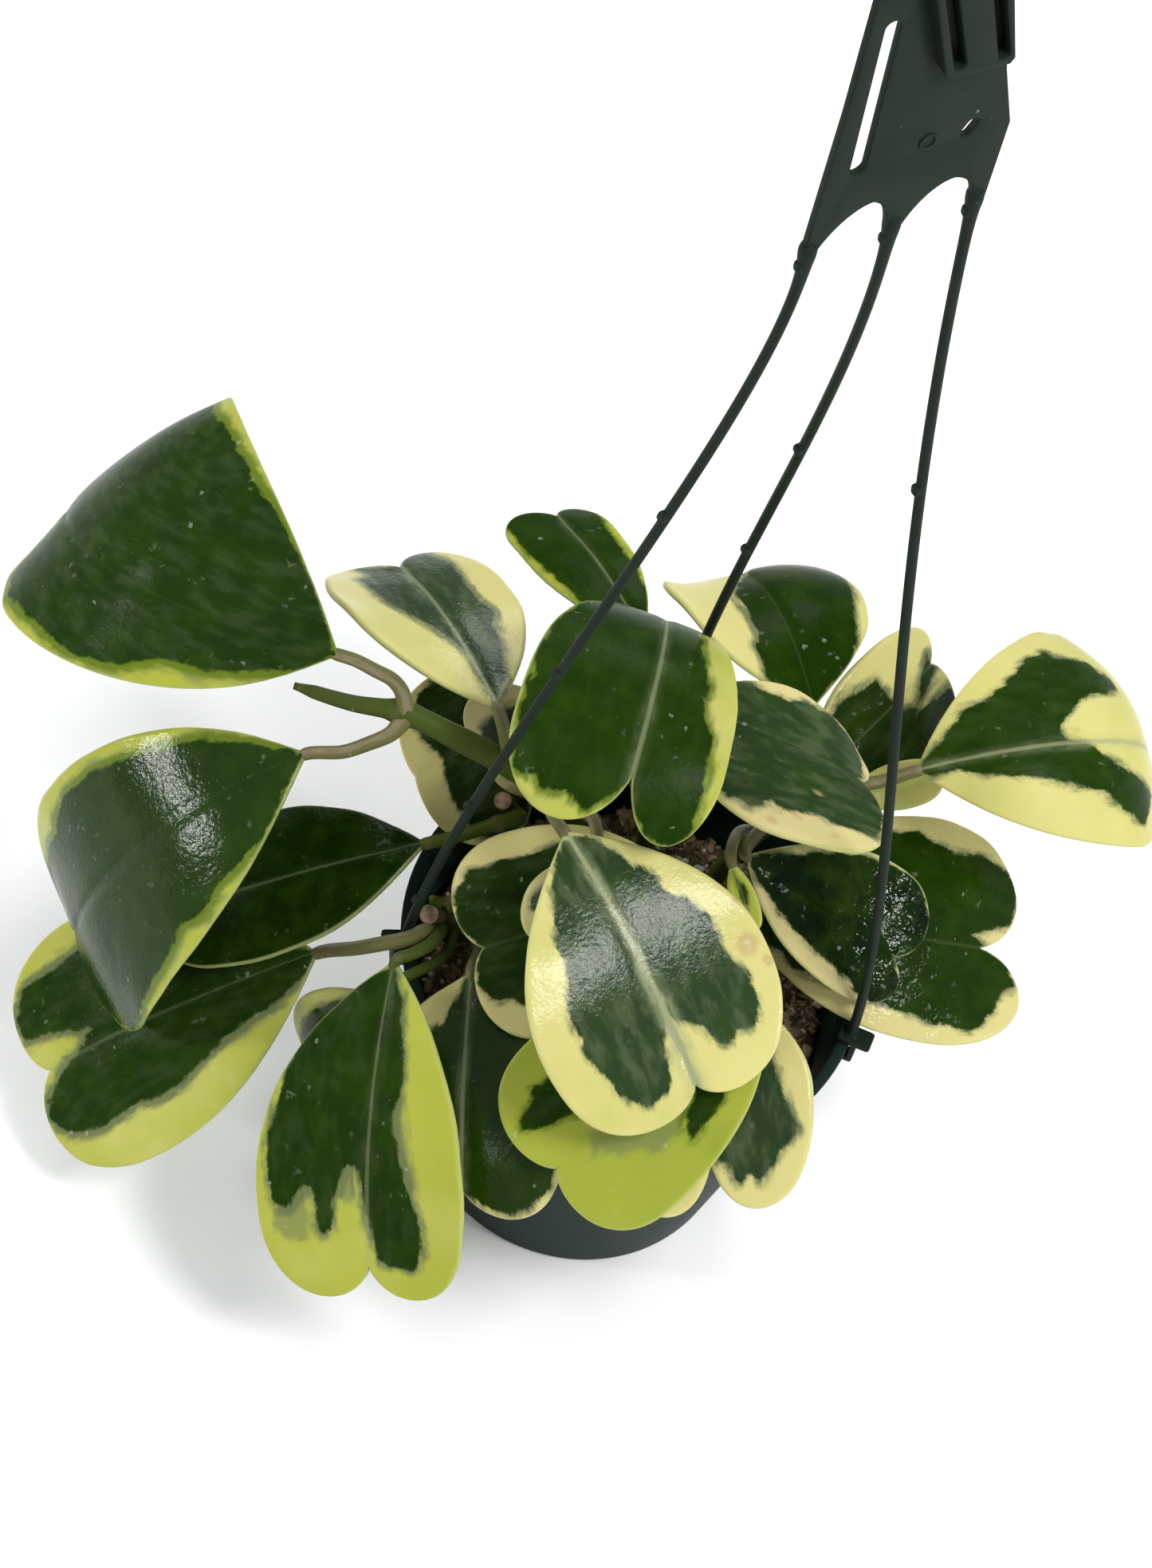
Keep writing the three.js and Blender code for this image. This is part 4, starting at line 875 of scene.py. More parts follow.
def strand_path(strand):
    """The strand's centre line: a cubic curve that leaves the plate along its face and stands on
    the clip, leaning in a little."""
    out, _, up = clip_axes(strand)
    foot = out * CLIP_RADIUS + up * (CLIP_TOP - 0.6)
    lean = strand["lean"] * DEGREE
    above = foot - out * strand["foot"] * math.sin(lean) + up * strand["foot"] * math.cos(lean)
    root = strand["side"] * STRAND_SPREAD
    head, below = plate_place(np.array([(root, -0.3, 0), (root, -0.3 - strand["head"], 0)], float))
    t = np.linspace(0, 1, 400)[:, None]
    curve = (1 - t) ** 3 * head + 3 * (1 - t) ** 2 * t * below + 3 * (1 - t) * t * t * above + t ** 3 * foot
    return resample(curve, STRAND_STEPS)


def strand_shell(strand):
    """A strand that flares into the plate, with its nubs, its clip's tab, leg, barb and boss."""
    path, along = strand_path(strand)
    head = path[:1] + unit(path[:1] - path[1:2]) * 1.6
    flare = STRAND_RADIUS + 0.75 * np.exp(-along / 5)
    shells = [tube(np.vstack([head, path]), np.r_[flare[0], flare], STRAND_SIDES)]
    side = np.array([math.cos(PLATE_TURN), math.sin(PLATE_TURN), 0])
    for u in strand["nubs"]:
        k = min(int(u * (len(path) - 1)) + 1, len(path) - 2)
        line = unit(path[k + 1] - path[k - 1])
        axes = np.array([unit(np.cross(line, np.cross(side, line))), unit(np.cross(side, line)), line])
        shells.append(rounded_block(path[k] - side * NUB_HALF[0], axes, NUB_HALF, 0.6))
    axes = clip_axes(strand)
    for radius, height, half, sharpness in (
            (RIM_RADIUS + 0.8, CLIP_TOP - 1, (4.25, 2.5, 1), 0.22),
            (RIM_RADIUS + 1.1, CLIP_TOP - 5.2, (0.8, 2, 4.75), 0.22),
            (RIM_RADIUS - 0.3, POT_HEIGHT - RIM_DEPTH - 1.2, (2.1, 1.7, 0.9), 0.22),
            (CLIP_RADIUS, CLIP_TOP - 0.8, (1.9, 1.9, 1.6), 0.6)):
        shells.append(rounded_block(axes[0] * radius + axes[2] * height, axes, half, sharpness))
    return joined(shells)


def stem_shell(stem):
    """A stem: it narrows to the tip and swells at its joint, with a flat cut end."""
    fine = spline(stem["path"], 14)
    path, along = resample(fine, len(fine))
    place = np.interp(along, distances(fine), np.linspace(0, 1, len(fine)))
    sizes = stem["radius"] + (stem["tip"] - stem["radius"]) * np.maximum(0, place - 0.6) / 0.4
    dried = stem.get("dried", 0)
    rings = 1.6 * smooth(0.975, 0.995, place) * dried
    sizes = sizes * (1 - 0.4 * smooth(0.95, 1, place) * dried)
    if stem["node"]:
        joint = stem["node"] / (len(stem["path"]) - 1)
        collar = np.exp(-((place - joint - 0.025) / 0.008) ** 2)
        sizes = sizes + 0.6 * np.exp(-((place - joint) / 0.035) ** 2) + 0.4 * collar
        rings = rings + collar
    shells = [tube(path, sizes, STEM_SIDES, blunt=(False, True), rings=0.5 * rings)]
    for start, end, radii in stem.get("shoots", ()):
        steps = np.linspace(0, 1, 16)
        line = np.array(start) + steps[:, None] * (np.array(end) - start)
        shells.append(tube(line, np.interp(steps, (0, 0.55, 1), radii), 16))
        shells[-1][2]["run"][:, 1] = 1
    return joined(shells)


# Colours that the settings don't hold: the dry middle of a brown spot, dust on plastic, the pale side
# of bark, and pale grains with their darkest, lightest and stained shades.
SPOT_MIDDLE = (0.6, 0.48, 0.34)
DUST = (0.35, 0.37, 0.33)
BARK_PALE = (0.42, 0.32, 0.21)
GRAIN_SHADES = ((0.5, 0.46, 0.4), (0.78, 0.75, 0.68), (0.4, 0.3, 0.2))

# Leaf skins: specular level, what is added to the roughness, height of the relief in metres, and
# scale of the pebbling.
SKINS = {
    "wet": (0.085, -0.03, 0.0004, 380.0),
    "waxy": (0.15, 0.02, 0.00016, 900.0),
    "dull": (0.02, 0.1, 0.0001, 1000.0),
}

# Loose bits on the soil: how many, seed, least and greatest sizes in millimetres, tilt, rows and
# columns of a bit's grid, and how rough it is. The number of bark chips is a setting.
BITS = {
    "soil_bark": (None, 5, (2.0, 1.2, 0.6), (6.5, 3.4, 1.8), 0.35, 5, 7, 0.16),
    "soil_crumbs": (2400, 9, (0.8, 0.6, 0.5), (2.6, 1.8, 1.4), 0.6, 4, 5, 0.2),
    "soil_fibres": (420, 13, (5, 0.25, 0.25), (13, 0.6, 0.5), 0.3, 6, 4, 0.12),
    "soil_grains": (380, 21, (0.8, 0.7, 0.6), (2.4, 2, 1.7), 0.8, 6, 8, 0.1),
}

# Lights: turn from the front and height in degrees, distance and size in metres, and power as a
# share of the main light's.
LIGHTS = {
    "overhead": (61, 64, 1.5, 0.4, 1.0),
    "left_low": (-73, 14, 1.3, 0.14, 0.33),
    "left_high": (-123, 35, 1.3, 0.45, 0.2),
    "right_low": (78, 12, 1.3, 0.08, 0.26),
    "back": (-172, 31, 1.3, 0.4, 0.22),
    "front": (-22, 25, 1.5, 0.2, 0.08),
}
LIGHTS_AIM = np.array([0, 0, 0.11])
ROOM_LIGHT = 0.62
ROOM_COLOUR = (0.95, 0.97, 1, 1)
FLOOR_HALF = 4.0


def wire(tree, kind, values=None, **settings):
    """Adds a node, sets it up, and gives its inputs numbers or other nodes' sockets."""
    node = tree.nodes.new(kind)
    count = len(tree.nodes)
    node.location = (count % 10 * 190, -(count // 10) * 240)
    for key, value in settings.items():
        setattr(node, key, value)
    for key, value in (values or {}).items():
        if isinstance(value, bpy.types.NodeSocket):
            tree.links.new(value, node.inputs[key])
        else:
            node.inputs[key].default_value = value
    return node


def calc(tree, operation, *values):
    """One arithmetic node, by its output."""
    return wire(tree, "ShaderNodeMath", dict(enumerate(values)), operation=operation).outputs[0]


def mask(tree, value, low, high):
    """A smooth step of a value between two limits, by its output."""
    limits = {"Value": value, "From Min": low, "From Max": high}
    return wire(tree, "ShaderNodeMapRange", limits, interpolation_type="SMOOTHSTEP").outputs[0]


def blend(tree, share, a, b):
    """A mix of two colours, by its output."""
    values = {0: share, 6: rgba(a), 7: rgba(b)}
    return wire(tree, "ShaderNodeMix", values, data_type="RGBA").outputs[2]


def times(tree, a, b):
    """The product of two values, by its output."""
    return calc(tree, "MULTIPLY", a, b)


def raised(tree, base, value, factor):
    """A base with a value times a factor added to it, by its output."""
    return calc(tree, "MULTIPLY_ADD", value, factor, base)


def shifted(tree, base, noise, reach):
    """A base that noise between 0 and 1 moves either way by half its reach, by its output."""
    return raised(tree, base, calc(tree, "SUBTRACT", noise, 0.5), reach)


def coat(tree, colour, share, strength, over):
    """A colour with another over it, where a mask says so and as strongly as given."""
    return blend(tree, times(tree, share, strength), colour, over)


def rgba(colour):
    """A colour with its alpha, or a socket as it is."""
    return colour if isinstance(colour, bpy.types.NodeSocket) else (*tuple(colour)[:3], 1)


def grain(tree, vector, scale, detail=2, roughness=0.55):
    """Smooth noise between 0 and 1, by its output."""
    values = {"Vector": vector, "Scale": scale, "Detail": detail, "Roughness": roughness}
    return wire(tree, "ShaderNodeTexNoise", values).outputs["Fac"]


def vector_of(tree, x, y, z):
    """A vector of three values, by its output."""
    return wire(tree, "ShaderNodeCombineXYZ", {0: x, 1: y, 2: z}).outputs[0]


def parts_of(tree, name):
    """The three values of a vertex attribute."""
    vector = wire(tree, "ShaderNodeAttribute", attribute_name=name).outputs["Vector"]
    return wire(tree, "ShaderNodeSeparateXYZ", {0: vector}).outputs


def here(tree):
    """The place on the object, in metres."""
    return wire(tree, "ShaderNodeTexCoord").outputs["Object"]


def new_group(name, inputs, outputs):
    """An empty shader group with named sockets: numbers where a default is given, else vectors.
    With it come the sockets of its two ends."""
    group = bpy.data.node_groups.new(name, "ShaderNodeTree")
    for title, value in inputs.items():
        kind = "NodeSocketVector" if value is None else "NodeSocketFloat"
        socket = group.interface.new_socket(title, in_out="INPUT", socket_type=kind)
        if value is not None:
            socket.default_value = value
    for title in outputs:
        group.interface.new_socket(title, in_out="OUTPUT", socket_type="NodeSocketFloat")
    return group, group.nodes.new("NodeGroupInput").outputs, group.nodes.new("NodeGroupOutput").inputs


def use_group(tree, name, values):
    """A shader group in a material, by its outputs."""
    return wire(tree, "ShaderNodeGroup", values, node_tree=bpy.data.node_groups[name]).outputs


def build_feathering():
    """Group: the green patch's feathered edge. Noise drawn out along the blade, wider bays and fine
    teeth that point forward shift the edge, and the greyed zone around it, by a millimetre or two."""
    group, given, end = new_group("Feathered patch", {"Blade": None, "Patch": 0, "Zone": 0, "Seed": 0},
                                  ("Green", "Zone", "Streak"))
    x, y, _ = wire(group, "ShaderNodeSeparateXYZ", {0: given["Blade"]}).outputs
    away = calc(group, "ABSOLUTE", x)
    forward = raised(group, y, away, -0.8)
    shift = times(group, given["Seed"], 7.3)

    def stretched(across, along, across_scale, along_scale, seed):
        """Noise on a place on the blade, drawn out by a scale across it and one along it."""
        vector = vector_of(group, times(group, across, across_scale), times(group, along, along_scale), seed)
        return grain(group, vector, 1, 3, 0.6)

    streaks = stretched(x, y, 0.5, 0.11, shift)
    bays = stretched(x, y, 0.2, 0.16, shift)
    teeth = stretched(away, forward, 0.3, 1.1, shift)
    wide = stretched(x, y, 0.28, 0.1, calc(group, "ADD", shift, 4))
    edge, zone = given["Patch"], given["Zone"]
    for noise, reach in ((streaks, 2.2), (bays, 3.2), (teeth, 1.0)):
        edge, zone = shifted(group, edge, noise, reach), shifted(group, zone, noise, reach)
    zone = shifted(group, zone, wide, 5)
    for title, value in (("Green", mask(group, edge, -0.5, 0.5)), ("Zone", mask(group, zone, -1.3, 1.3)),
                         ("Streak", mask(group, wide, 0.42, 0.68))):
        group.links.new(value, end[title])


def build_specks():
    """Group: dried water drops. Cells are thrown over the surface, and a few hold a small pale dot."""
    group, given, end = new_group("Water specks", {"Vector": None, "Scale": 150.0, "Size": 0.12}, ("Mask",))
    bent = wire(group, "ShaderNodeTexNoise", {"Vector": given["Vector"], "Scale": 900.0}).outputs["Color"]
    place = wire(group, "ShaderNodeVectorMath", {0: bent, 1: (0.0016,) * 3, 2: given["Vector"]},
                 operation="MULTIPLY_ADD").outputs[0]
    cell = wire(group, "ShaderNodeTexVoronoi", {"Vector": place, "Scale": given["Scale"]}).outputs
    chance = wire(group, "ShaderNodeSeparateColor", {0: cell["Color"]}).outputs[0]
    size = times(group, given["Size"], mask(group, chance, 0.72, 1.0))
    share = calc(group, "DIVIDE", cell["Distance"], calc(group, "ADD", size, 0.0001))
    group.links.new(mask(group, share, 1.1, 0.7), end["Mask"])


def build_pebbling():
    """Group: the height of a waxy skin's fine pebbling, two noises of different grain."""
    group, given, end = new_group("Pebbled skin", {"Vector": None, "Scale": 700.0, "Fine": 0.4}, ("Height",))
    coarse = grain(group, given["Vector"], given["Scale"], 2)
    fine = grain(group, given["Vector"], times(group, given["Scale"], 2.7), 2)
    group.links.new(raised(group, coarse, fine, given["Fine"]), end["Height"])


def new_material(name, **constants):
    """A material and its node tree. The constants go to its Principled BSDF's named sockets."""
    material = bpy.data.materials.new(name)
    material.use_nodes = True
    for key, value in constants.items():
        material.node_tree.nodes["Principled BSDF"].inputs[key.replace("_", " ")].default_value = value
    return material, material.node_tree


def finish(material, colour, roughness, height, strength, distance):
    """The material with its colour, its roughness, and its height through a bump of a strength."""
    tree = material.node_tree
    bump = wire(tree, "ShaderNodeBump", {"Strength": strength, "Distance": distance, "Height": height})
    for key, socket in (("Base Color", colour), ("Roughness", roughness), ("Normal", bump.outputs[0])):
        tree.links.new(socket, tree.nodes["Principled BSDF"].inputs[key])
    return material


def leaf_material(look, name, shine, roughness, relief, pebbles):
    """The leaf's skin: lime, cream or ivory margins, a feathered green patch, a pale rib that glows
    into it, a thin rim, brown spots and dried drops."""
    material, tree = new_material(name, Specular_IOR_Level=shine, Subsurface_Weight=0.12,
                                  Subsurface_Radius=(0.5, 0.7, 0.2), Subsurface_Scale=0.002)
    blade = wire(tree, "ShaderNodeAttribute", attribute_name="blade").outputs["Vector"]
    x, y, margin = wire(tree, "ShaderNodeSeparateXYZ", {0: blade}).outputs
    patch, zone, rib = parts_of(tree, "pattern")
    cream, blue, dark = parts_of(tree, "tone")
    spot, under, seed = parts_of(tree, "marks")
    place = here(tree)
    given = {"Blade": blade, "Patch": patch, "Zone": zone, "Seed": seed}
    feather = use_group(tree, "Feathered patch", given)
    mottle = grain(tree, place, 130, 3)
    fade = shifted(tree, cream, grain(tree, place, 45, 2), 0.9)
    pale = blend(tree, mask(tree, fade, 0, 1), look.lime, look.cream)
    pale = blend(tree, mask(tree, fade, 0, -0.6), pale, look.deep_lime)
    pale = blend(tree, mask(tree, fade, 1.2, 2), pale, look.ivory)
    smoky = calc(tree, "MAXIMUM", mask(tree, cream, 0.35, 0.75), mask(tree, dark, 0.2, 0.3))
    greyed = blend(tree, smoky, look.vivid, look.grey)
    greyed = blend(tree, mask(tree, patch, -1.2, -3), greyed, blend(tree, 0.25, look.pale_grey, pale))
    green = blend(tree, blue, look.olive, look.bluish)
    green = coat(tree, green, dark, 0.9, look.deep)
    green = blend(tree, mask(tree, mottle, 0.35, 0.8), green, blend(tree, 0.45, green, look.vivid_dark))
    green = coat(tree, green, times(tree, feather["Streak"], blue), 0.5, look.grey)
    colour = blend(tree, feather["Green"], coat(tree, pale, feather["Zone"], 0.88, greyed), green)
    width = raised(tree, raised(tree, 0.2, rib, 0.3), y, 0.006)
    from_rib = calc(tree, "DIVIDE", calc(tree, "ABSOLUTE", x), width)
    line = times(tree, mask(tree, from_rib, 1.2, 0.3), rib)
    glow = times(tree, mask(tree, from_rib, 4.2, 0.2), times(tree, rib, rib))
    colour = coat(tree, colour, glow, raised(tree, 0.2, feather["Streak"], 0.4), look.rib)
    colour = coat(tree, colour, line, 0.7, look.rib)
    colour = coat(tree, colour, mask(tree, margin, 0.7, 0.15), 0.5, look.rim)
    spot = shifted(tree, spot, mottle, 0.3)
    colour = coat(tree, colour, mask(tree, spot, 0.05, 0.6), 0.6, look.spot)
    colour = coat(tree, colour, mask(tree, spot, 0.72, 0.82), 0.7, SPOT_MIDDLE)
    colour = coat(tree, colour, under, 0.5, look.under)
    specks = use_group(tree, "Water specks", {"Vector": place, "Scale": 230.0, "Size": 0.16})["Mask"]
    smudges = times(tree, mask(tree, grain(tree, place, 380, 3, 0.6), 0.62, 0.7),
                    mask(tree, grain(tree, place, 75, 1), 0.5, 0.62))
    specks = calc(tree, "MAXIMUM", specks, times(tree, smudges, 0.5))
    height = use_group(tree, "Pebbled skin", {"Vector": place, "Scale": pebbles, "Fine": 0.3})["Height"]
    rough = raised(tree, raised(tree, roughness, mottle, 0.08), specks, 0.3)
    return finish(material, coat(tree, colour, specks, 0.27, look.drop), raised(tree, rough, under, 0.2),
                  raised(tree, height, mottle, 2.5), look.pebbling, relief)


def stem_material(name, look, upper, lower, end, cork, band):
    """A stem's skin: one colour in the band that faces up and one beside it, corky patches, pale dots, and
    cut or dried ends. On the vine and fresh leaf stalks the colour beside the band is the shaded green, a
    painted shade."""
    material, tree = new_material(name, Specular_IOR_Level=0.1, Subsurface_Weight=0.05,
                                  Subsurface_Scale=0.001)
    along, turn, cut = parts_of(tree, "run")
    place = here(tree)
    lengthwise = vector_of(tree, times(tree, along, 0.09), times(tree, turn, 4.5), 0.0)
    streak = grain(tree, lengthwise, 1.6, 3)
    mottle = grain(tree, place, 420, 3)
    # The lower colour goes beside the band; where it is the shaded green, it is painted shade.
    colour = blend(tree, mask(tree, shifted(tree, turn, streak, 0.6), *band), lower, upper)
    colour = coat(tree, colour, mask(tree, streak, 0.5, 0.75), 0.5, look.brown)
    colour = coat(tree, colour, mask(tree, mottle, 0.52, 0.72), cork, look.cork)
    dots = use_group(tree, "Water specks", {"Vector": place, "Scale": 420.0, "Size": 0.2})["Mask"]
    colour = coat(tree, colour, dots, 0.4, look.cut)
    colour = blend(tree, cut, colour, blend(tree, mask(tree, mottle, 0.35, 0.7), end, look.cork))
    return finish(material, colour, raised(tree, 0.35, mottle, 0.3), calc(tree, "ADD", streak, mottle),
                  0.35, 0.0004)


def plastic_material(name, colour, worn, roughness):
    """Moulded plastic: a satin skin with faint cloudiness, dust dots and fine pebbling."""
    material, tree = new_material(name, Specular_IOR_Level=0.06)
    place = here(tree)
    cloud = grain(tree, place, 60, 4, 0.6)
    tint = blend(tree, mask(tree, cloud, 0.3, 0.75), colour, [worn * c for c in colour])
    dots = use_group(tree, "Water specks", {"Vector": place, "Scale": 300.0, "Size": 0.12})["Mask"]
    height = use_group(tree, "Pebbled skin", {"Vector": place, "Scale": 1500.0, "Fine": 0.5})["Height"]
    height = calc(tree, "ADD", height, times(tree, grain(tree, place, 900, 2), 0.4))
    return finish(material, coat(tree, tint, dots, 0.35, DUST), raised(tree, roughness, cloud, 0.2), height,
                  0.12, 0.0003)


def crumb_material(name, dark, light, pale):
    """Loose bits: each has a shade of its own from its layer, with a rough mottled skin."""
    material, tree = new_material(name, Specular_IOR_Level=0.3)
    shade, second, _ = parts_of(tree, "run")
    mottle = grain(tree, here(tree), 600, 4, 0.65)
    colour = coat(tree, blend(tree, shade, dark, light), mask(tree, mottle, 0.5, 0.75), second, pale)
    return finish(material, colour, raised(tree, 0.75, mottle, 0.2), mottle, 0.6, 0.0005)


def floor_material(colour):
    """A plain pale floor with the faintest cloudiness."""
    material, tree = new_material("Pale floor", Specular_IOR_Level=0.2, Roughness=0.85)
    share = mask(tree, grain(tree, here(tree), 6, 2), 0.2, 0.9)
    tree.links.new(blend(tree, share, colour, [0.98 * c for c in colour]),
                   tree.nodes["Principled BSDF"].inputs["Base Color"])
    return material


def colour_property(name, description, default):
    """A colour the user can change."""
    return FloatVectorProperty(name=name, description=description, subtype="COLOR", size=3, min=0, max=1,
                               default=default)


class HoyaLeafSettings(bpy.types.PropertyGroup):
    """Sizes and colours of the leaves."""
    thickness: FloatProperty(name="Thickness", description="Blade thickness in millimetres", default=1.9,
                             min=0.6, max=4)
    edge: FloatProperty(name="Edge", description="How far the blade's edge is rounded, in millimetres",
                        default=1.1, min=0.3, max=3)
    waves: FloatProperty(name="Waves", description="Height of the blade's waves in millimetres",
                         default=0.35, min=0, max=2)
    roughness: FloatProperty(name="Roughness", description="Roughness of the waxy skin", default=0.08,
                             min=0, max=1, subtype="FACTOR")
    pebbling: FloatProperty(name="Pebbling", description="Strength of the skin's fine bumps", default=0.6,
                            min=0, max=1, subtype="FACTOR")
    lime: colour_property("Lime", "Margin of young leaves", (0.345, 0.375, 0.048))
    deep_lime: colour_property("Deep lime", "Margin of the greenest leaf", (0.29, 0.33, 0.042))
    cream: colour_property("Cream", "Margin of grown leaves", (0.575, 0.525, 0.2))
    ivory: colour_property("Ivory", "Older, tan cream of the inner leaves' margins", (0.55, 0.47, 0.22))
    vivid: colour_property("Vivid green", "Zone beside a lime margin", (0.08, 0.136, 0.01))
    pale_grey: colour_property("Pale grey green", "Greyed tongues in the margin", (0.15, 0.176, 0.072))
    grey: colour_property("Grey green", "Zone beside a cream margin", (0.096, 0.128, 0.06))
    olive: colour_property("Olive green", "Patch of young leaves", (0.012, 0.034, 0.0012))
    bluish: colour_property("Bluish green", "Patch of grown leaves", (0.019, 0.04, 0.0135))
    deep: colour_property("Deep green", "Patch in the darkest leaves", (0.0012, 0.007, 0.0005))
    vivid_dark: colour_property("Leaf green", "Clouds in the patch", (0.027, 0.062, 0.0024))
    rib: colour_property("Rib", "Line of the rib", (0.27, 0.3, 0.16))
    rim: colour_property("Rim", "Thin rim of the blade", (0.4, 0.44, 0.16))
    spot: colour_property("Spot", "Brown spots", (0.42, 0.28, 0.12))
    under: colour_property("Underside", "Underside of the blade", (0.18, 0.24, 0.08))
    drop: colour_property("Dried drops", "Pale water marks", (0.45, 0.5, 0.42))


class HoyaStemSettings(bpy.types.PropertyGroup):
    """Colours of the stems and leaf stalks."""
    green: colour_property("Green", "Vine", (0.1, 0.135, 0.011))
    # Shaded green is painted shade: it darkens the vine's underside and the sides of fresh leaf stalks.
    shade: colour_property("Shaded green", "Underside of the vine", (0.05, 0.075, 0.01))
    stalk: colour_property("Stalk", "Upper side of a leaf stalk", (0.21, 0.185, 0.11))
    stalk_side: colour_property("Stalk side", "Sides of a leaf stalk", (0.125, 0.125, 0.042))
    brown: colour_property("Brown", "Old stem", (0.07, 0.07, 0.028))
    cork: colour_property("Cork", "Corky patches", (0.135, 0.105, 0.06))
    cut: colour_property("Cut", "Cut ends", (0.44, 0.29, 0.18))


class HoyaPotSettings(bpy.types.PropertyGroup):
    """Colours of the pot, the hanger and the soil, and the number of bark chips."""
    pot: colour_property("Pot", "Pot plastic", (0.006, 0.015, 0.011))
    hanger: colour_property("Hanger", "Hanger plastic", (0.0095, 0.016, 0.0105))
    soil: colour_property("Soil", "Damp fibre", (0.12, 0.078, 0.042))
    bark: colour_property("Bark", "Bark chips", (0.46, 0.33, 0.19))
    chips: IntProperty(name="Chips", description="Number of bark chips", default=900, min=0, max=3000)


class HoyaStageSettings(bpy.types.PropertyGroup):
    """The camera's distance and lens, the lights and the floor."""
    distance: FloatProperty(name="Distance", description="Camera to the pot's rim", default=1.5,
                            unit="LENGTH")
    lens: FloatProperty(name="Lens", description="Focal length in millimetres", default=140.9,
                        min=20, max=400)
    light: FloatProperty(name="Light", description="Power of the main light in watts", default=14.5, min=0)
    floor: colour_property("Floor", "Floor colour", (0.95, 0.95, 0.945))


class HOYA_OT_leaves(bpy.types.Operator):
    """Build every leaf's blade and stalk"""
    bl_idname = "hoya.leaves"
    bl_label = "Leaves"

    def execute(self, context):
        look = context.scene.hoya_leaf
        stem = context.scene.hoya_stem
        skins = {name: leaf_material(look, name + " leaf", shine, look.roughness + more, relief, pebbles)
                 for name, (shine, more, relief, pebbles) in SKINS.items()}
        groove = (0.78, 0.98)
        # A fresh stalk's sides are painted shade, in the shaded green.
        stalks = [stem_material("Leaf stalk", stem, stem.stalk, stem.stalk_side, stem.cork, 0.4, groove),
                  stem_material("Fresh leaf stalk", stem, stem.green, stem.shade, stem.cork, 0.1, groove)]
        for count, (name, leaf) in enumerate(LEAVES.items()):
            blade = leaf_blade(leaf, 0.7 + 1.37 * count, look.thickness, look.edge, look.waves)
            make_piece(name + "_blade", blade, skins[leaf.get("skin", "waxy")], [name])
            make_piece(name + "_stalk", petiole_tube(leaf), stalks["fresh" in leaf], [name])
        return {"FINISHED"}


class HOYA_OT_stems(bpy.types.Operator):
    """Build the vines and old stems with their cut ends"""
    bl_idname = "hoya.stems"
    bl_label = "Stems"

    def execute(self, context):
        look = context.scene.hoya_stem
        # The vine's lower colour, the shaded green, is painted shade.
        green = stem_material("Green vine", look, look.green, look.shade, look.brown, 0.12, (-0.4, 0.7))
        brown = stem_material("Old stem", look, look.green, look.brown, look.cut, 0.5, (0.1, 0.75))
        for name, stem in STEMS.items():
            make_piece(name + "_skin", stem_shell(stem), green if stem["node"] else brown, [name])
        return {"FINISHED"}


class HOYA_OT_soil(bpy.types.Operator):
    """Build the potting mix with its bark, crumbs and pale grains"""
    bl_idname = "hoya.soil"
    bl_label = "Soil"

    def execute(self, context):
        look = context.scene.hoya_pot
        damp = crumb_material("Damp fibre", look.soil, look.soil, look.bark)
        bark = crumb_material("Bark", look.soil, look.bark, BARK_PALE)
        pale = crumb_material("Pale grains", *GRAIN_SHADES)
        make_piece("soil_bed", soil_shell(), damp, ["soil"])
        for name, (count, *form) in BITS.items():
            bits = bits_shell(look.chips if count is None else count, *form)
            make_piece(name, bits, pale if name == "soil_grains" else bark)
        return {"FINISHED"}


class HOYA_OT_pot(bpy.types.Operator):
    """Build the pot with its lip and drain holes"""
    bl_idname = "hoya.pot"
    bl_label = "Pot"

    def execute(self, context):
        look = context.scene.hoya_pot
        plastic = plastic_material("Pot plastic", look.pot, 1.6, 0.38)
        make_piece("pot_body", pot_shell(), plastic, ["pot"])
        return {"FINISHED"}


class HOYA_OT_hanger(bpy.types.Operator):
    """Build the hanger's plate with its hook, and the three strands with their clips"""
    bl_idname = "hoya.hanger"
    bl_label = "Hanger"

    def execute(self, context):
        look = context.scene.hoya_pot
        plastic = plastic_material("Hanger plastic", look.hanger, 1.35, 0.42)
        make_piece("hanger_plate_body", plate_shell(), plastic, ["hanger_plate"])
        for name, strand in STRANDS.items():
            make_piece(name + "_body", strand_shell(strand), plastic, [name])
        return {"FINISHED"}


def stand(thing, axes, place):
    """Puts a lamp or camera at a place, with its own axes along the given ones."""
    rows = np.column_stack([*axes, place]).tolist()
    thing.matrix_world = Matrix([*rows, [0, 0, 0, 1]])
    bpy.context.scene.collection.objects.link(thing)


def add_light(name, turn, height, far, size, power):
    """A square soft light that faces the plant from a turn and height in degrees."""
    turn, height = turn * DEGREE, height * DEGREE
    level = math.cos(height)
    back = np.array([math.sin(turn) * level, -math.cos(turn) * level, math.sin(height)])
    right = unit(np.cross((0, 0, 1), back))
    data = bpy.data.lights.new(name, "AREA")
    data.size = size
    data.energy = power
    stand(bpy.data.objects.new(name, data), (right, np.cross(back, right), back), LIGHTS_AIM + far * back)


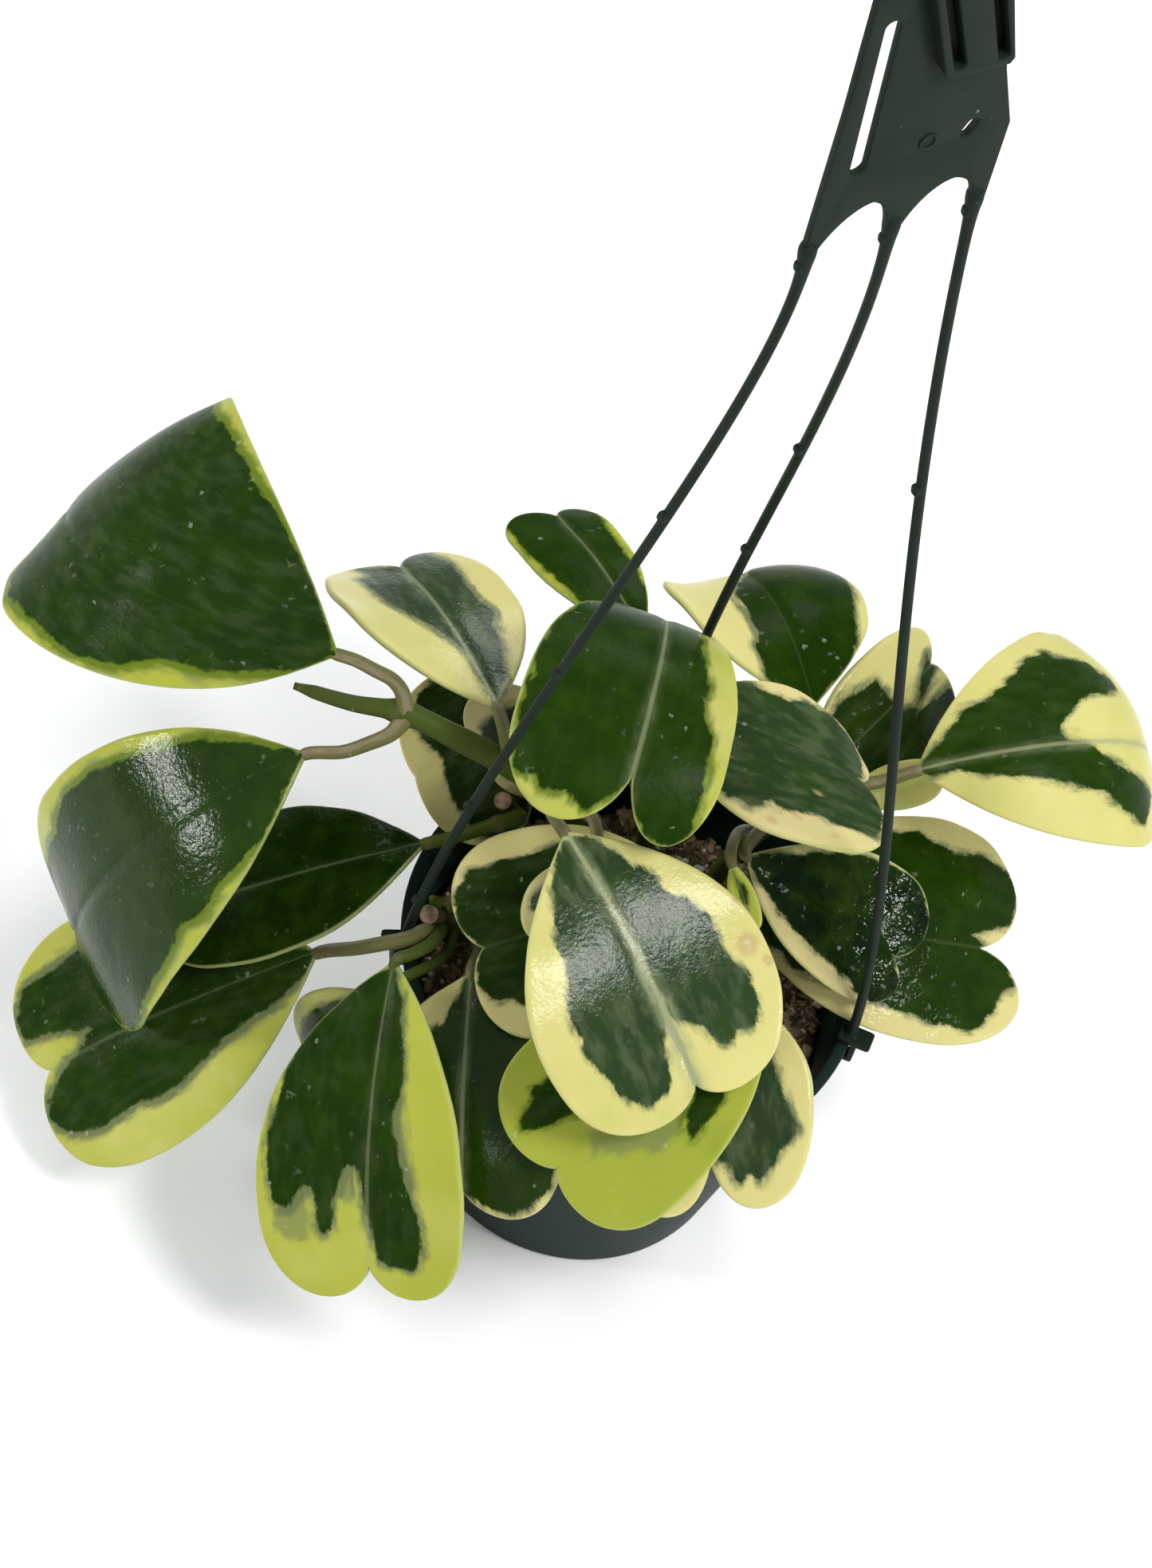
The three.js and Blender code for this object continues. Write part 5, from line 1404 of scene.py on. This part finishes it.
class HOYA_OT_stage(bpy.types.Operator):
    """Build the floor, the studio lights and the camera at the photograph's viewing angle"""
    bl_idname = "hoya.stage"
    bl_label = "Stage"

    def execute(self, context):
        look = context.scene.hoya_stage
        mesh = bpy.data.meshes.new("stage_floor")
        corners = ((-FLOOR_HALF, -FLOOR_HALF), (FLOOR_HALF, -FLOOR_HALF), (FLOOR_HALF, FLOOR_HALF),
                   (-FLOOR_HALF, FLOOR_HALF))
        mesh.from_pydata([(x, y, 0) for x, y in corners], [], [(0, 1, 2, 3)])
        mesh.materials.append(floor_material(look.floor))
        floor = bpy.data.objects.new("stage_floor", mesh)
        context.scene.collection.objects.link(floor)
        across = np.array([1.0, 0, 0])
        upward = np.array([0, math.sin(ELEVATION), math.cos(ELEVATION)])
        right = math.cos(ROLL) * across + math.sin(ROLL) * upward
        up = math.cos(ROLL) * upward - math.sin(ROLL) * across
        rim = np.array([0, 0, POT_HEIGHT * MILLIMETRE])
        data = bpy.data.cameras.new("camera")
        data.lens = look.lens
        data.sensor_width = SENSOR_WIDTH
        camera = bpy.data.objects.new("camera", data)
        stand(camera, (right, up, VIEW), rim - AXIS_LEFT * right + AXIS_ABOVE * up + look.distance * VIEW)
        context.scene.camera = camera
        for name, (turn, height, far, size, share) in LIGHTS.items():
            add_light(name, turn, height, far, size, look.light * share)
        world = bpy.data.worlds.new("Pale room")
        world.use_nodes = True
        background = world.node_tree.nodes["Background"].inputs
        background["Color"].default_value = ROOM_COLOUR
        background["Strength"].default_value = ROOM_LIGHT
        context.scene.world = world
        context.scene.view_settings.view_transform = "Standard"
        return {"FINISHED"}


class HOYA_PT_panel(bpy.types.Panel):
    """Lists the plant's operators and their settings"""
    bl_idname = "HOYA_PT_panel"
    bl_label = "Potted hoya"
    bl_space_type = "VIEW_3D"
    bl_region_type = "UI"
    bl_category = "Hoya"

    def draw(self, context):
        for title in ("pot", "soil", "stems", "leaves", "hanger", "stage"):
            self.layout.operator("hoya." + title)
        for title in ("hoya_leaf", "hoya_stem", "hoya_pot", "hoya_stage"):
            settings = getattr(context.scene, title)
            box = self.layout.box()
            for key in settings.__annotations__:
                box.prop(settings, key)


CLASSES = (HoyaLeafSettings, HoyaStemSettings, HoyaPotSettings, HoyaStageSettings, HOYA_OT_leaves,
           HOYA_OT_stems, HOYA_OT_soil, HOYA_OT_pot, HOYA_OT_hanger, HOYA_OT_stage, HOYA_PT_panel)
SETTINGS = {"hoya_leaf": HoyaLeafSettings, "hoya_stem": HoyaStemSettings, "hoya_pot": HoyaPotSettings,
            "hoya_stage": HoyaStageSettings}


def register():
    """Registers the classes and hangs their settings on the scene."""
    for item in CLASSES:
        bpy.utils.register_class(item)
    for name, item in SETTINGS.items():
        setattr(bpy.types.Scene, name, PointerProperty(type=item))


def unregister():
    """Takes the settings and classes away again."""
    for name in SETTINGS:
        delattr(bpy.types.Scene, name)
    for item in reversed(CLASSES):
        bpy.utils.unregister_class(item)


def main():
    """Builds the shader groups and every piece."""
    register()
    build_feathering()
    build_specks()
    build_pebbling()
    bpy.ops.hoya.pot()
    bpy.ops.hoya.soil()
    bpy.ops.hoya.stems()
    bpy.ops.hoya.leaves()
    bpy.ops.hoya.hanger()
    bpy.ops.hoya.stage()


if __name__ == "__main__":
    main()
